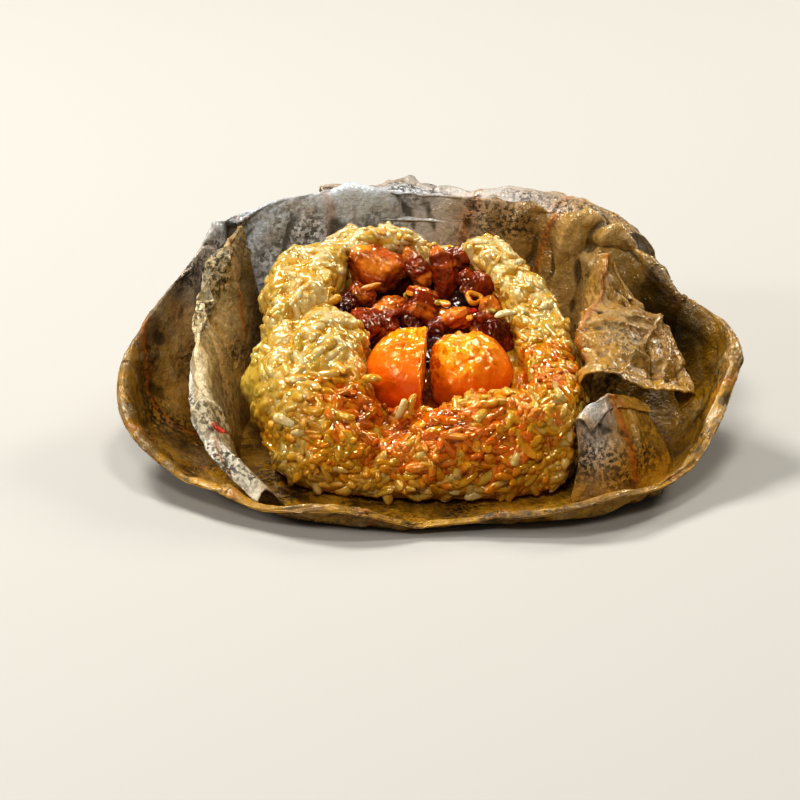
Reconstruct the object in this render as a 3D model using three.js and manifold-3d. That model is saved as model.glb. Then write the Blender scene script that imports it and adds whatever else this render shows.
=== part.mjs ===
/**
 * Lotus leaf sticky rice: a steamed rice parcel, opened out on its own leaf.
 *
 * The leaf is one thin wavy solid: a dished sheet that the food sits in, a
 * narrow flap turned up on the left, a broad flap folded forward on the right,
 * a small fold below it and a flap that falls away behind. On the leaf stands
 * the mound of sticky rice, open in the middle, with chunks of braised meat
 * and the two halves of a salted egg yolk lying in it.
 *
 * Millimetres, +Z up, +X to the right, +Y away from the open front side.
 */
import * as THREE from 'three';
import Module from 'manifold-3d';

const wasm = await Module();
wasm.setup();

// ---------------------------------------------------------------------------
// Driving dimensions
// ---------------------------------------------------------------------------

/** The part's origin is under the middle of its box, here in the frame of the lists below. */
const MIDDLE_X = 0;
const MIDDLE_Y = 8.5;

const LEAF_THICKNESS = 0.9;
/** Clearance between pieces that lie against each other. */
const GAP = 0.3;
/** Slivers finer than this are melted into their neighbours. */
const MELT = 0.02;

/** Flat disc under the food, and the lip that the dished sheet's edge turns into. */
const BASE_RADIUS = 26;
const LIP_OUT = 2.6;
const LIP_DROP = 1.2;
/** How far the wall's bend stands on its way from the foot to the edge. */
const WALL_BEND = 0.66;
const DISH_COLUMNS = 66;
const DISH_ROWS = 7;
/** Where the dished sheet's wall starts on its way from the base to the lip, from 0 to 1. */
const FOOT_ROW = 0.25;

/**
 * Edge of the dished sheet, clockwise from the left: the point, how far out the
 * wall starts there (foot) and how low the wall hangs on its way up (hollow).
 */
const DISH_EDGE = [
  { at: [-73.0, -5, 20.6], foot: 0.72, hollow: 0.3 },
  { at: [-58.0, 20, 36.5], foot: 0.8, hollow: 0.36 },
  { at: [-46.7, 36, 43.2], foot: 0.82, hollow: 0.42 },
  { at: [-15.4, 44.5, 46.0], foot: 0.86, hollow: 0.46 },
  { at: [21.3, 42, 42.8], foot: 0.86, hollow: 0.46 },
  { at: [45.0, 30, 40.3], foot: 0.76, hollow: 0.42 },
  { at: [60.5, 13, 31.4], foot: 0.74, hollow: 0.34 },
  { at: [72.8, -5, 25.4], foot: 0.74, hollow: 0.3 },
  { at: [62.0, -36, 10.0], foot: 0.76, hollow: 0.3 },
  { at: [38.0, -57, 7.5], foot: 0.82, hollow: 0.3 },
  { at: [8.0, -58, 3.5], foot: 0.88, hollow: 0.3 },
  { at: [-22.0, -60, 7.5], foot: 0.84, hollow: 0.3 },
  { at: [-45.0, -50, 4.5], foot: 0.82, hollow: 0.3 },
  { at: [-68.0, -30, 11.0], foot: 0.72, hollow: 0.3 },
];

/** Flap turned up on the left, rails from its foot to its rolled lip, each from front to back. */
const LEFT_FLAP = [
  [[-34, -45, 0.4], [-42, -38, 0.4], [-46, -20, 0.4], [-46, 2, 0.4], [-42, 20, 0.4], [-39, 29, 0.4]],
  [[-36, -48, 4], [-45, -40, 9.5], [-50, -21, 12], [-50, 2, 16], [-46.5, 18, 23], [-43, 28.5, 27]],
  [[-39, -50, 7], [-50.5, -38, 17], [-54.5, -21, 24], [-55.5, 2, 32.5], [-51.5, 16, 40], [-46.5, 29, 43]],
  [[-40.5, -52, 4.5], [-53, -40, 13.5], [-57.5, -21, 20], [-58, 2, 28.5], [-54, 15, 36], [-49, 27, 40]],
];

/** Broad flap folded forward on the right, rails from the rice side over the rib to the curled edge. */
const RIGHT_FLAP = [
  [[38, 24, 0.4], [41, 6, 0.4], [41, -12, 0.4], [39, -27, 0.4]],
  [[38.5, 22, 27], [38.6, 6, 21], [38.6, -9, 17], [38, -25, 13]],
  [[43, 17, 39.9], [40.4, 4, 34.6], [38.4, -8, 29.6], [37, -24, 24.6]],
  [[45, 16, 39.6], [47.6, 3, 33.8], [48.2, -10, 29], [46.5, -27, 25.4]],
  [[46, 15.5, 39.2], [52, 4, 33], [56, -8, 28], [56.5, -25, 22.8]],
  [[46, 15, 37.4], [53.5, 6, 31], [60.5, -4, 25.4], [64.5, -20, 19.5]],
  [[45.5, 14, 33], [51, 6, 26], [58, -4, 20], [61, -18, 14]],
];

/** Small fold below the right flap, rails from its foot to its curled edge. */
const SMALL_FOLD = [
  [[33, -42, 0.4], [46, -38, 0.4], [59, -28, 0.4]],
  [[35, -39, 9], [45, -35, 11], [56, -27, 10]],
  [[35.5, -36, 18], [41.5, -29.5, 22.5], [50.5, -25.5, 19]],
  [[38, -37.5, 16.5], [44, -31, 20.5], [53, -27, 17]],
];

/** Flap that falls away behind, rails from the back ridge to its hem. */
const BACK_FLAP = [
  [[-26, 43.8, 40], [2, 44.6, 39.5], [24, 41.4, 37], [40.4, 33, 35.5]],
  [[-27, 51, 44.8], [3, 54, 44], [31, 52, 42.4], [50, 42, 37]],
  [[-28, 65, 40], [4, 71, 39], [37, 68, 36], [57, 52, 29.5]],
  [[-28, 72, 27], [5, 78, 25], [41, 75, 21], [59, 58, 16]],
];

/** Outline of the rice mound, clockwise from the right: height of its top, thickness of its wall. */
const RICE_OUTLINE = [
  { at: [35.5, -14], top: 27.5, wall: 14.5 },
  { at: [35.5, -29], top: 24, wall: 14 },
  { at: [29, -40], top: 24, wall: 15 },
  { at: [12, -45], top: 23, wall: 16 },
  { at: [-11, -44], top: 19.5, wall: 16 },
  { at: [-31, -38], top: 24.5, wall: 24 },
  { at: [-39, -26], top: 30, wall: 27 },
  { at: [-40, -10], top: 33.5, wall: 26 },
  { at: [-40, 4], top: 38.5, wall: 22 },
  { at: [-38.5, 20], top: 42, wall: 20 },
  { at: [-27, 30], top: 41.5, wall: 15 },
  { at: [-11, 32], top: 44.5, wall: 10 },
  { at: [2.5, 30], top: 39.5, wall: 8 },
  { at: [17, 26], top: 43.5, wall: 12 },
  { at: [28, 14], top: 39.5, wall: 14 },
  { at: [34, 1], top: 34.5, wall: 15 },
];
const RICE_CENTRE = [0, -4];
const RICE_BASE = LEAF_THICKNESS + GAP;
const RICE_WAVE = 0.9;
/** How far the bed reaches in past the wall, and the underside is drawn in. */
const BED_INSET = 9;
const UNDER_INSET = 2.2;
/** Height over which the unevenness fades in above the underside. */
const FADE_HEIGHT = 6;

/** Places where the mound swells or sinks: middle, reach and push in mm. */
const RICE_LUMPS = [
  { at: [-41, -14, 19], reach: 8.5, push: 6 },
  { at: [-40, 11, 33], reach: 8, push: 1.2 },
  { at: [-22, -12, 32], reach: 8, push: 2.2 },
  { at: [-14, -20, 24], reach: 6, push: 2 },
  { at: [-25, -1, 35], reach: 4.5, push: -2.6 },
  { at: [2.5, 29, 40], reach: 4, push: -2.4 },
  { at: [28, -26, 24], reach: 7, push: 1.6 },
];

/** Bed of rice in the open middle: it climbs from the front to the back. */
const BED_FRONT = 15;
const BED_BACK = 33;
const BED_FRONT_Y = -30;
const BED_BACK_Y = 24;

const RICE_COLUMNS = 36;
const RICE_ROWS = 13;
/** Where the wall of the mound starts on its way from the bed to the underside, from 0 to 1. */
const BED_ROW = 1 / 7;

/** Cooked grains fused on where the mound shows, and how far apart they lie. */
const GRAIN_LENGTH = 6.8;
const GRAIN_WIDTH = 2.8;
const GRAIN_SIDES = 4;
const GRAIN_COUNT = 86;
const GRAIN_SPACING = 5.6;
const GRAIN_SEED = 11;
const GRAIN_ROWS = { from: 0.15, to: 0.9 };
const GRAIN_SIZES = { from: 0.88, to: 1.1 };
/** Places that face further back or down than this carry no grains. */
const FACES_BACK = 0.45;
const FACES_DOWN = -0.25;
/** How far a grain's middle stands out of the mound, as a part of its width. */
const GRAIN_STANDS = 0.2;

/** Yolk halves: middle, half sizes, place of the cut, the side it faces and how it leans. */
const YOLKS = [
  { name: 'yolk_left', at: [-0.9, -14, 22.2], half: [14.6, 12, 9.8], cut: -0.9, side: 1, lean: 0.02 },
  { name: 'yolk_right', at: [9.4, -13.5, 22.0], half: [11.2, 12.5, 9.4], cut: 0.1, side: -1, lean: 0.1 },
];

const YOLK_COLUMNS = 18;
const YOLK_ROWS = 11;

/** Meat chunks: middle, half sizes and turn about Z, Y and X in degrees. */
const MEATS = [
  { at: [-12.4, 18.0, 37.0], half: [7.2, 5.8, 5.4], turn: [-14, 14, 10] },
  { at: [-2.6, 18.0, 36.0], half: [2.9, 4.2, 6.2], turn: [10, -26, 8] },
  { at: [3.9, 16.8, 36.2], half: [3.1, 3.8, 7.4], turn: [-8, -16, -14] },
  { at: [8.6, 21.4, 38.0], half: [4.0, 3.2, 3.2], turn: [22, 12, 0] },
  { at: [9.6, 16.6, 34.4], half: [3.6, 2.6, 2.4], turn: [12, 22, 6] },
  { at: [12.4, 11.8, 34.6], half: [4.1, 3.6, 3.9], turn: [28, 34, 14] },
  { at: [14.8, 6.4, 30.8], half: [3.0, 3.4, 3.0], turn: [-20, 12, 18] },
  { at: [6.9, 3.0, 29.6], half: [3.7, 3.2, 3.3], turn: [-12, -30, 22] },
  { at: [12.6, 2.6, 28.4], half: [2.9, 3.2, 3.1], turn: [24, 18, -12] },
  { at: [17.3, -1.6, 26.6], half: [3.2, 3.4, 5.0], turn: [14, -36, 10] },
  { at: [-1.8, 7.5, 31.2], half: [4.6, 4.0, 4.6], turn: [18, 30, -16] },
  { at: [-20.3, 7.0, 31.4], half: [3.6, 3.4, 3.0], turn: [20, -12, 20] },
  { at: [-16.8, 10.6, 32.6], half: [3.4, 3.0, 2.4], turn: [-24, 16, 8] },
  { at: [-15.8, 1.2, 28.6], half: [4.0, 3.6, 4.0], turn: [-20, 24, 12] },
  { at: [-9.6, 6.2, 30.4], half: [4.4, 3.6, 2.8], turn: [12, -8, 10] },
  { at: [-10.0, 0.6, 28.0], half: [3.4, 2.8, 2.8], turn: [30, 28, 26] },
  { at: [-4.2, 2.4, 28.2], half: [2.8, 2.6, 2.4], turn: [40, 6, -14] },
  { at: [2.2, 1.8, 28.0], half: [2.6, 2.8, 2.2], turn: [-18, 14, 20] },
];

const MEAT_COLUMNS = 9;
const MEAT_ROWS = 6;
/** How boxy a chunk is: 2 is an egg, more is squarer. */
const MEAT_POWER = 3;

const COLOURS = {
  leaf: 0x7a6a3a,
  rice: 0xd9bd7c,
  yolk: 0xe8820c,
  meat: 0x6b2412,
};

// ---------------------------------------------------------------------------
// Small helpers
// ---------------------------------------------------------------------------

const point = (list) => new THREE.Vector3(...list);
const mix = THREE.MathUtils.lerp;
const smooth = (value, from, to) => THREE.MathUtils.smoothstep(value, from, to);

/** Seeded random numbers from 0 to 1. */
function randomFrom(seed) {
  let state = seed;
  return () => {
    state = (state + 0x6d2b79f5) | 0;
    let mixed = Math.imul(state ^ (state >>> 15), 1 | state);
    mixed = (mixed + Math.imul(mixed ^ (mixed >>> 7), 61 | mixed)) ^ mixed;
    return ((mixed ^ (mixed >>> 14)) >>> 0) / 4294967296;
  };
}

/** A smooth surface (u, v) -> point through rails; u runs along them and v from the first to the last. */
function loft(rails, closed) {
  const curves = rails.map((rail) => new THREE.CatmullRomCurve3(rail, closed, 'catmullrom', 0.5));
  return (u, v) => {
    const along = closed ? u - Math.floor(u) : THREE.MathUtils.clamp(u, 0, 1);
    const across = curves.map((curve) => curve.getPoint(along));
    return new THREE.CatmullRomCurve3(across, false, 'catmullrom', 0.5).getPoint(v);
  };
}

/** The unit normal of a surface: the direction of u crossed with the direction of v. */
function normalAt(surface, u, v) {
  const step = 1e-3;
  const alongU = surface(u + step, v).sub(surface(u - step, v));
  const v0 = Math.max(v - step, 0);
  const v1 = Math.min(v + step, 1);
  const alongV = surface(u, v1).sub(surface(u, v0));
  return alongU.cross(alongV).normalize();
}

/** A closed body from points and triangles. */
function solidFrom(points, triangles) {
  const mesh = new wasm.Mesh({
    numProp: 3,
    vertProperties: new Float32Array(points.flatMap((p) => [p.x, p.y, p.z])),
    triVerts: new Uint32Array(triangles.flat()),
  });
  const solid = new wasm.Manifold(mesh);
  return solid.volume() > 0 ? solid : flipped(points, triangles);
}

/** The same body with its faces turned round. */
function flipped(points, triangles) {
  return solidFrom(points, triangles.map(([a, b, c]) => [a, c, b]));
}

/** The geometry of a solid, with its largest piece kept and the finest slivers melted away. */
function geometryOf(solid) {
  const pieces = solid.simplify(MELT).decompose();
  pieces.sort((a, b) => b.volume() - a.volume());
  const mesh = pieces[0].getMesh();
  const geometry = new THREE.BufferGeometry();
  geometry.setAttribute('position', new THREE.BufferAttribute(mesh.vertProperties, 3));
  geometry.setIndex(new THREE.BufferAttribute(mesh.triVerts, 1));
  return geometry;
}

// ---------------------------------------------------------------------------
// Leaf
// ---------------------------------------------------------------------------

/** A crease's height at a distance from its line: a sharp ridge with soft flanks. */
const ridge = (distance, width) => Math.exp(-Math.abs(distance) / width);

/** Rows of a sheet between which its pleats grow to their full height. */
const PLEATS_START = 0.25;
const PLEATS_FULL = 0.55;

/** Pleats of a sheet, in mm along its normal; they grow from its foot to its edge. */
function pleats(list) {
  return (u, v) => {
    let height = 0;
    for (const { at, drift, tall, width } of list) {
      height += tall * ridge(u - at - drift * v, width);
    }
    return height * smooth(v, PLEATS_START, PLEATS_FULL);
  };
}

const DISH_PLEATS = pleats([
  { at: 0.04, drift: 0.03, tall: -1.8, width: 0.014 },
  { at: 0.1, drift: 0.02, tall: 1.8, width: 0.012 },
  { at: 0.135, drift: 0.01, tall: -2.6, width: 0.012 },
  { at: 0.19, drift: 0.02, tall: 1.6, width: 0.012 },
  { at: 0.235, drift: -0.01, tall: -1.6, width: 0.014 },
  { at: 0.27, drift: 0.03, tall: 2.2, width: 0.01 },
  { at: 0.29, drift: 0.03, tall: -2.6, width: 0.01 },
  { at: 0.3, drift: 0.04, tall: 4.6, width: 0.012 },
  { at: 0.325, drift: 0.03, tall: -3.2, width: 0.01 },
  { at: 0.34, drift: 0.02, tall: 3.6, width: 0.013 },
  { at: 0.43, drift: 0.0, tall: -2.0, width: 0.016 },
  { at: 0.52, drift: 0.02, tall: 1.6, width: 0.02 },
  { at: 0.6, drift: -0.02, tall: -1.5, width: 0.02 },
  { at: 0.68, drift: 0.02, tall: 1.6, width: 0.022 },
  { at: 0.76, drift: -0.02, tall: -1.6, width: 0.022 },
  { at: 0.85, drift: 0.02, tall: 1.7, width: 0.02 },
  { at: 0.93, drift: -0.01, tall: 1.8, width: 0.016 },
]);

const LEFT_PLEATS = pleats([
  { at: 0.16, drift: 0.06, tall: -1.6, width: 0.05 },
  { at: 0.34, drift: -0.05, tall: 1.5, width: 0.05 },
  { at: 0.52, drift: 0.08, tall: -1.4, width: 0.04 },
  { at: 0.66, drift: 0.0, tall: -2.4, width: 0.035 },
  { at: 0.84, drift: -0.06, tall: 1.6, width: 0.045 },
]);

const RIGHT_PLEATS = pleats([
  { at: 0.25, drift: 0.1, tall: -1.2, width: 0.06 },
  { at: 0.55, drift: -0.12, tall: 1.3, width: 0.06 },
  { at: 0.8, drift: 0.1, tall: -1.4, width: 0.05 },
]);

const FOLD_PLEATS = pleats([{ at: 0.45, drift: 0.1, tall: 1.4, width: 0.08 }]);

const BACK_PLEATS = pleats([
  { at: 0.2, drift: 0.08, tall: 1.6, width: 0.05 },
  { at: 0.45, drift: -0.06, tall: -1.8, width: 0.06 },
  { at: 0.75, drift: 0.05, tall: 1.8, width: 0.06 },
]);

/** Rails of the dished sheet, from the flat base to the turned lip. */
function dishRails() {
  const base = DISH_EDGE.map(({ at: [x, y] }) => {
    const reach = Math.hypot(x, y);
    return point([(x * BASE_RADIUS) / reach, (y * BASE_RADIUS) / reach, LEAF_THICKNESS / 2]);
  });
  const foot = DISH_EDGE.map(({ at: [x, y], foot: part }) => (
    point([x * part, y * part, LEAF_THICKNESS / 2])
  ));
  const wall = DISH_EDGE.map(({ at: [x, y, z], foot: part, hollow }) => {
    const out = mix(part, 1, WALL_BEND);
    return point([x * out, y * out, z * hollow]);
  });
  const edge = DISH_EDGE.map(({ at }) => point(at));
  const lip = DISH_EDGE.map(({ at: [x, y, z] }) => {
    const out = 1 + LIP_OUT / Math.hypot(x, y);
    return point([x * out, y * out, z - LIP_DROP]);
  });
  return [base, foot, wall, edge, lip];
}

/**
 * A thin sheet as a closed body: the surface moved half the thickness each way
 * along its normal, both faces split alike, and a narrow wall round the rim.
 */
function sheetSolid({ surface, relief, columns, rows, closed }) {
  const rowAt = (j) => (closed && j > 0 ? mix(FOOT_ROW, 1, (j - 1) / (rows - 1)) : j / rows);
  const upper = [];
  const lower = [];
  const count = closed ? columns : columns + 1;
  for (let j = 0; j <= rows; j += 1) {
    for (let i = 0; i < count; i += 1) {
      const u = i / columns;
      const v = rowAt(j);
      const normal = normalAt(surface, u, v);
      const middle = surface(u, v).addScaledVector(normal, relief(u, v));
      const half = normal.multiplyScalar(LEAF_THICKNESS / 2);
      const top = middle.clone().add(half);
      const under = middle.clone().sub(half);
      top.z = Math.max(top.z, LEAF_THICKNESS);
      under.z = Math.max(under.z, 0);
      upper.push(top);
      lower.push(under);
    }
  }
  const shift = upper.length;
  const triangles = [];
  const quad = (a, b, c, d) => triangles.push([a, b, c], [a, c, d]);
  const index = (i, j) => j * count + (i % count);
  for (let j = 0; j < rows; j += 1) {
    for (let i = 0; i < columns; i += 1) {
      const [a, b, c, d] = [index(i, j), index(i + 1, j), index(i + 1, j + 1), index(i, j + 1)];
      triangles.push([a, b, c], [a, c, d]);
      triangles.push([a + shift, c + shift, b + shift], [a + shift, d + shift, c + shift]);
    }
  }
  for (let i = 0; i < columns; i += 1) {
    const [c, d] = [index(i, rows), index(i + 1, rows)];
    quad(c, d, d + shift, c + shift);
    if (!closed) {
      const [a, b] = [index(i, 0), index(i + 1, 0)];
      quad(b, a, a + shift, b + shift);
    }
  }
  const points = [...upper, ...lower];
  if (closed) {
    const middleTop = points.push(point([0, 0, LEAF_THICKNESS])) - 1;
    const middleUnder = points.push(point([0, 0, 0])) - 1;
    for (let i = 0; i < columns; i += 1) {
      const [a, b] = [index(i, 0), index(i + 1, 0)];
      triangles.push([b, a, middleTop], [a + shift, b + shift, middleUnder]);
    }
  } else {
    for (let j = 0; j < rows; j += 1) {
      const [a, b] = [index(0, j), index(0, j + 1)];
      const [c, d] = [index(columns, j), index(columns, j + 1)];
      quad(a, b, b + shift, a + shift);
      quad(d, c, c + shift, d + shift);
    }
  }
  return solidFrom(points, triangles);
}

/** A flap's surface from its list of rails. */
const flapSurface = (rails) => loft(rails.map((rail) => rail.map(point)), false);

/** The leaf as one body: the dished sheet and its four flaps. */
function makeLeaf() {
  const dish = sheetSolid({
    surface: loft(dishRails(), true),
    relief: DISH_PLEATS,
    columns: DISH_COLUMNS,
    rows: DISH_ROWS,
    closed: true,
  });
  const flaps = [
    { rails: LEFT_FLAP, relief: LEFT_PLEATS, columns: 19, rows: 6 },
    { rails: RIGHT_FLAP, relief: RIGHT_PLEATS, columns: 12, rows: 10 },
    { rails: SMALL_FOLD, relief: FOLD_PLEATS, columns: 8, rows: 5 },
    { rails: BACK_FLAP, relief: BACK_PLEATS, columns: 13, rows: 5 },
  ].map(({ rails, ...rest }) => sheetSolid({ surface: flapSurface(rails), closed: false, ...rest }));
  return wasm.Manifold.union([dish, ...flaps]);
}

// ---------------------------------------------------------------------------
// Rice mound
// ---------------------------------------------------------------------------

/** Height of the bed of rice in the open middle, from its distance to the back. */
function bedHeight(y) {
  const part = (y - BED_FRONT_Y) / (BED_BACK_Y - BED_FRONT_Y);
  return mix(BED_FRONT, BED_BACK, THREE.MathUtils.clamp(part, 0, 1));
}

/** Rails of the mound, from the middle of its bed over its wall and down to its underside. */
function riceRails() {
  const [cx, cy] = RICE_CENTRE;
  const ring = (inset, height) => RICE_OUTLINE.map(({ at: [x, y], top, wall }) => {
    const reach = Math.hypot(x - cx, y - cy);
    const kept = (reach - inset(wall)) / reach;
    const px = cx + (x - cx) * kept;
    const py = cy + (y - cy) * kept;
    return point([px, py, height(top, py)]);
  });
  return [
    ring((wall) => wall + BED_INSET, (top, y) => bedHeight(y)),
    ring((wall) => wall, (top, y) => bedHeight(y)),
    ring((wall) => wall * 0.9, (top, y) => mix(bedHeight(y), top, 0.75)),
    ring((wall) => wall * 0.72, (top) => top),
    ring((wall) => wall * 0.34, (top) => top - 0.6),
    ring((wall) => wall * 0.08, (top) => top - 4),
    ring(() => 0, (top) => top * 0.4),
    ring(() => UNDER_INSET, () => RICE_BASE),
  ];
}

/** Gentle unevenness of the mound and its lumps, in mm along its normal. */
function riceRelief(p) {
  const waves = Math.sin(p.x * 0.31 + p.y * 0.17) * Math.sin(p.y * 0.27 - p.z * 0.22)
    + 0.6 * Math.sin(p.x * 0.62 - p.z * 0.5 + 1.3) * Math.sin(p.y * 0.55 + 0.7);
  let height = RICE_WAVE * waves;
  for (const { at, reach, push } of RICE_LUMPS) {
    height += push * Math.exp(-point(at).distanceToSquared(p) / (reach * reach));
  }
  return height * smooth(p.z, RICE_BASE, RICE_BASE + FADE_HEIGHT);
}

const riceSurface = loft(riceRails(), true);

/** A point of the mound's uneven surface, without its grains. */
function moundPoint(u, v) {
  const middle = riceSurface(u, v);
  return middle.addScaledVector(normalAt(riceSurface, u, v), riceRelief(middle));
}

/** Grains that show, spread evenly over the top, the front and the inner wall, clear of the leaf. */
function scatterGrains(leaf) {
  const random = randomFrom(GRAIN_SEED);
  const places = [];
  const grains = [];
  for (let tries = 0; grains.length < GRAIN_COUNT && tries < GRAIN_COUNT * 40; tries += 1) {
    const u = random();
    const v = mix(GRAIN_ROWS.from, GRAIN_ROWS.to, random());
    const angle = random() * Math.PI;
    const size = mix(GRAIN_SIZES.from, GRAIN_SIZES.to, random());
    const place = moundPoint(u, v);
    const outward = normalAt(moundPoint, u, v);
    const hidden = outward.y > FACES_BACK || outward.z < FACES_DOWN;
    if (hidden || places.some((other) => other.distanceTo(place) < GRAIN_SPACING)) continue;
    const across = moundPoint(u + 1e-3, v).sub(place);
    across.addScaledVector(outward, -across.dot(outward)).normalize();
    const along = across.applyAxisAngle(outward, angle);
    const centre = place.clone().addScaledVector(outward, GRAIN_STANDS * GRAIN_WIDTH);
    const room = grain(centre, along, outward, GRAIN_LENGTH * size + 2 * GAP, GRAIN_WIDTH * size + 2 * GAP);
    if (!room.intersect(leaf).isEmpty()) continue;
    places.push(place);
    grains.push(grain(centre, along, outward, GRAIN_LENGTH * size, GRAIN_WIDTH * size));
  }
  return grains;
}

/** The mound as a body: its rings from the bed to the underside, with a pole at each end. */
function riceCore(columns, rows) {
  const points = [];
  const triangles = [];
  for (let j = 0; j <= rows; j += 1) {
    const v = j > 0 ? mix(BED_ROW, 1, (j - 1) / (rows - 1)) : 0;
    for (let i = 0; i < columns; i += 1) {
      const p = moundPoint((i + (j % 2) / 2) / columns, v);
      p.z = Math.max(p.z, RICE_BASE);
      points.push(p);
    }
  }
  const [cx, cy] = RICE_CENTRE;
  const bed = points.push(point([cx, cy, bedHeight(cy)])) - 1;
  const under = points.push(point([cx, cy, RICE_BASE])) - 1;
  const index = (i, j) => j * columns + (i % columns);
  for (let i = 0; i < columns; i += 1) {
    triangles.push([bed, index(i + 1, 0), index(i, 0)]);
    triangles.push([under, index(i, rows), index(i + 1, rows)]);
    for (let j = 0; j < rows; j += 1) {
      const [a, b, c, d] = [index(i, j), index(i + 1, j), index(i + 1, j + 1), index(i, j + 1)];
      const pair = j % 2 ? [[a, b, c], [a, c, d]] : [[a, b, d], [b, c, d]];
      triangles.push(...pair);
    }
  }
  return solidFrom(points, triangles);
}

/** One cooked grain as a body: a slim spindle of few sides along a direction. */
function grain(centre, along, outward, length, width) {
  const side = outward.clone().cross(along).normalize();
  const rings = [[-0.45, 0.46], [0.45, 0.46]];
  const points = [centre.clone().addScaledVector(along, -length / 2)];
  for (const [reach, radius] of rings) {
    for (let k = 0; k < GRAIN_SIDES; k += 1) {
      const angle = (2 * Math.PI * k) / GRAIN_SIDES;
      points.push(centre.clone()
        .addScaledVector(along, (reach * length) / 2)
        .addScaledVector(side, Math.cos(angle) * radius * width)
        .addScaledVector(outward, Math.sin(angle) * radius * width));
    }
  }
  points.push(centre.clone().addScaledVector(along, length / 2));
  const last = points.length - 1;
  const triangles = [];
  for (let k = 0; k < GRAIN_SIDES; k += 1) {
    const next = (k + 1) % GRAIN_SIDES;
    triangles.push([0, 1 + next, 1 + k]);
    for (let r = 0; r < rings.length - 1; r += 1) {
      const a = 1 + r * GRAIN_SIDES;
      const b = a + GRAIN_SIDES;
      triangles.push([a + k, a + next, b + next], [a + k, b + next, b + k]);
    }
    const a = 1 + (rings.length - 1) * GRAIN_SIDES;
    triangles.push([last, a + k, a + next]);
  }
  return solidFrom(points, triangles);
}

// ---------------------------------------------------------------------------
// Yolk halves and meat chunks
// ---------------------------------------------------------------------------

/** A closed body from a function of direction, on rings from one pole to the other. */
function blobSolid(reach, columns, rows) {
  const points = [reach(new THREE.Vector3(0, 0, -1))];
  for (let j = 1; j < rows; j += 1) {
    const fall = (Math.PI * j) / rows;
    for (let i = 0; i < columns; i += 1) {
      const turn = (2 * Math.PI * i) / columns;
      points.push(reach(new THREE.Vector3(
        Math.sin(fall) * Math.cos(turn),
        Math.sin(fall) * Math.sin(turn),
        -Math.cos(fall),
      )));
    }
  }
  points.push(reach(new THREE.Vector3(0, 0, 1)));
  const last = points.length - 1;
  const index = (i, j) => 1 + (j - 1) * columns + (i % columns);
  const triangles = [];
  for (let i = 0; i < columns; i += 1) {
    triangles.push([0, index(i + 1, 1), index(i, 1)]);
    triangles.push([last, index(i, rows - 1), index(i + 1, rows - 1)]);
    for (let j = 1; j < rows - 1; j += 1) {
      const [a, b, c, d] = [index(i, j), index(i + 1, j), index(i + 1, j + 1), index(i, j + 1)];
      triangles.push([a, b, c], [a, c, d]);
    }
  }
  return solidFrom(points, triangles);
}

/** A yolk half: an ellipsoid whose points past the cut are pressed onto the leaning cut face. */
function yolkSolid({ at, half, cut, side, lean }, swell) {
  const [cx, cy, cz] = at;
  return blobSolid((direction) => {
    const dent = 1 + 0.03 * Math.sin(5 * direction.x + 2) * Math.sin(4 * direction.z + 1);
    const p = point([
      cx + direction.x * half[0] * dent,
      cy + direction.y * half[1] * dent,
      cz + direction.z * half[2] * dent,
    ]);
    const face = cut - side * lean * (cz + half[2] - p.z);
    p.x = side > 0 ? Math.min(p.x, face) : Math.max(p.x, face);
    const outward = new THREE.Vector3(direction.x / half[0], direction.y / half[1], direction.z / half[2]);
    return p.addScaledVector(outward.normalize(), swell);
  }, YOLK_COLUMNS, YOLK_ROWS);
}

/** A chunk's reach in a direction: a box with well rounded edges and an uneven skin. */
function chunkReach(direction, number) {
  const sum = Math.abs(direction.x) ** MEAT_POWER + Math.abs(direction.y) ** MEAT_POWER
    + Math.abs(direction.z) ** MEAT_POWER;
  const box = sum ** (-1 / MEAT_POWER);
  const skin = 0.1 * Math.sin(4.3 * direction.x + 1.7 * number)
    * Math.cos(3.7 * direction.y - 0.9 * number)
    + 0.08 * Math.sin(5.1 * direction.z + 2.3 * number);
  return box * (1 + skin);
}

/** A chunk of meat, swollen by a clearance where it makes room for itself. */
function meatSolid({ at, half, turn }, number, swell) {
  const [aboutZ, aboutY, aboutX] = turn.map(THREE.MathUtils.degToRad);
  const rotation = new THREE.Euler(aboutX, aboutY, aboutZ, 'ZYX');
  return blobSolid((direction) => {
    const reach = chunkReach(direction, number);
    return new THREE.Vector3(
      direction.x * (reach * half[0] + swell),
      direction.y * (reach * half[1] + swell),
      direction.z * (reach * half[2] + swell),
    ).applyEuler(rotation).add(point(at));
  }, MEAT_COLUMNS, MEAT_ROWS);
}

// ---------------------------------------------------------------------------
// Assembly
// ---------------------------------------------------------------------------

/** All pieces in one group, each in a mesh of its own. */
function buildPart() {
  const leaf = makeLeaf();
  const yolks = YOLKS.map((yolk) => yolkSolid(yolk, 0));
  const yolkRoom = wasm.Manifold.union(YOLKS.map((yolk) => yolkSolid(yolk, GAP)));
  const meats = [];
  let taken = yolkRoom;
  MEATS.forEach((meat, number) => {
    meats.push(meatSolid(meat, number, 0).subtract(taken));
    taken = taken.add(meatSolid(meat, number, GAP));
  });
  const rice = wasm.Manifold.union([riceCore(RICE_COLUMNS, RICE_ROWS), ...scatterGrains(leaf)]).subtract(taken);

  const group = new THREE.Group();
  const addPiece = (name, solid, colour, roughness) => {
    const material = new THREE.MeshStandardMaterial({ color: colour, roughness, metalness: 0 });
    const mesh = new THREE.Mesh(geometryOf(solid), material);
    mesh.name = name;
    mesh.position.set(-MIDDLE_X, -MIDDLE_Y, 0);
    group.add(mesh);
  };
  addPiece('leaf', leaf, COLOURS.leaf, 0.55);
  addPiece('rice', rice, COLOURS.rice, 0.35);
  YOLKS.forEach(({ name }, i) => addPiece(name, yolks[i], COLOURS.yolk, 0.4));
  meats.forEach((solid, i) => {
    addPiece(`meat_${String(i + 1).padStart(2, '0')}`, solid, COLOURS.meat, 0.3);
  });
  return group;
}

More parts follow.
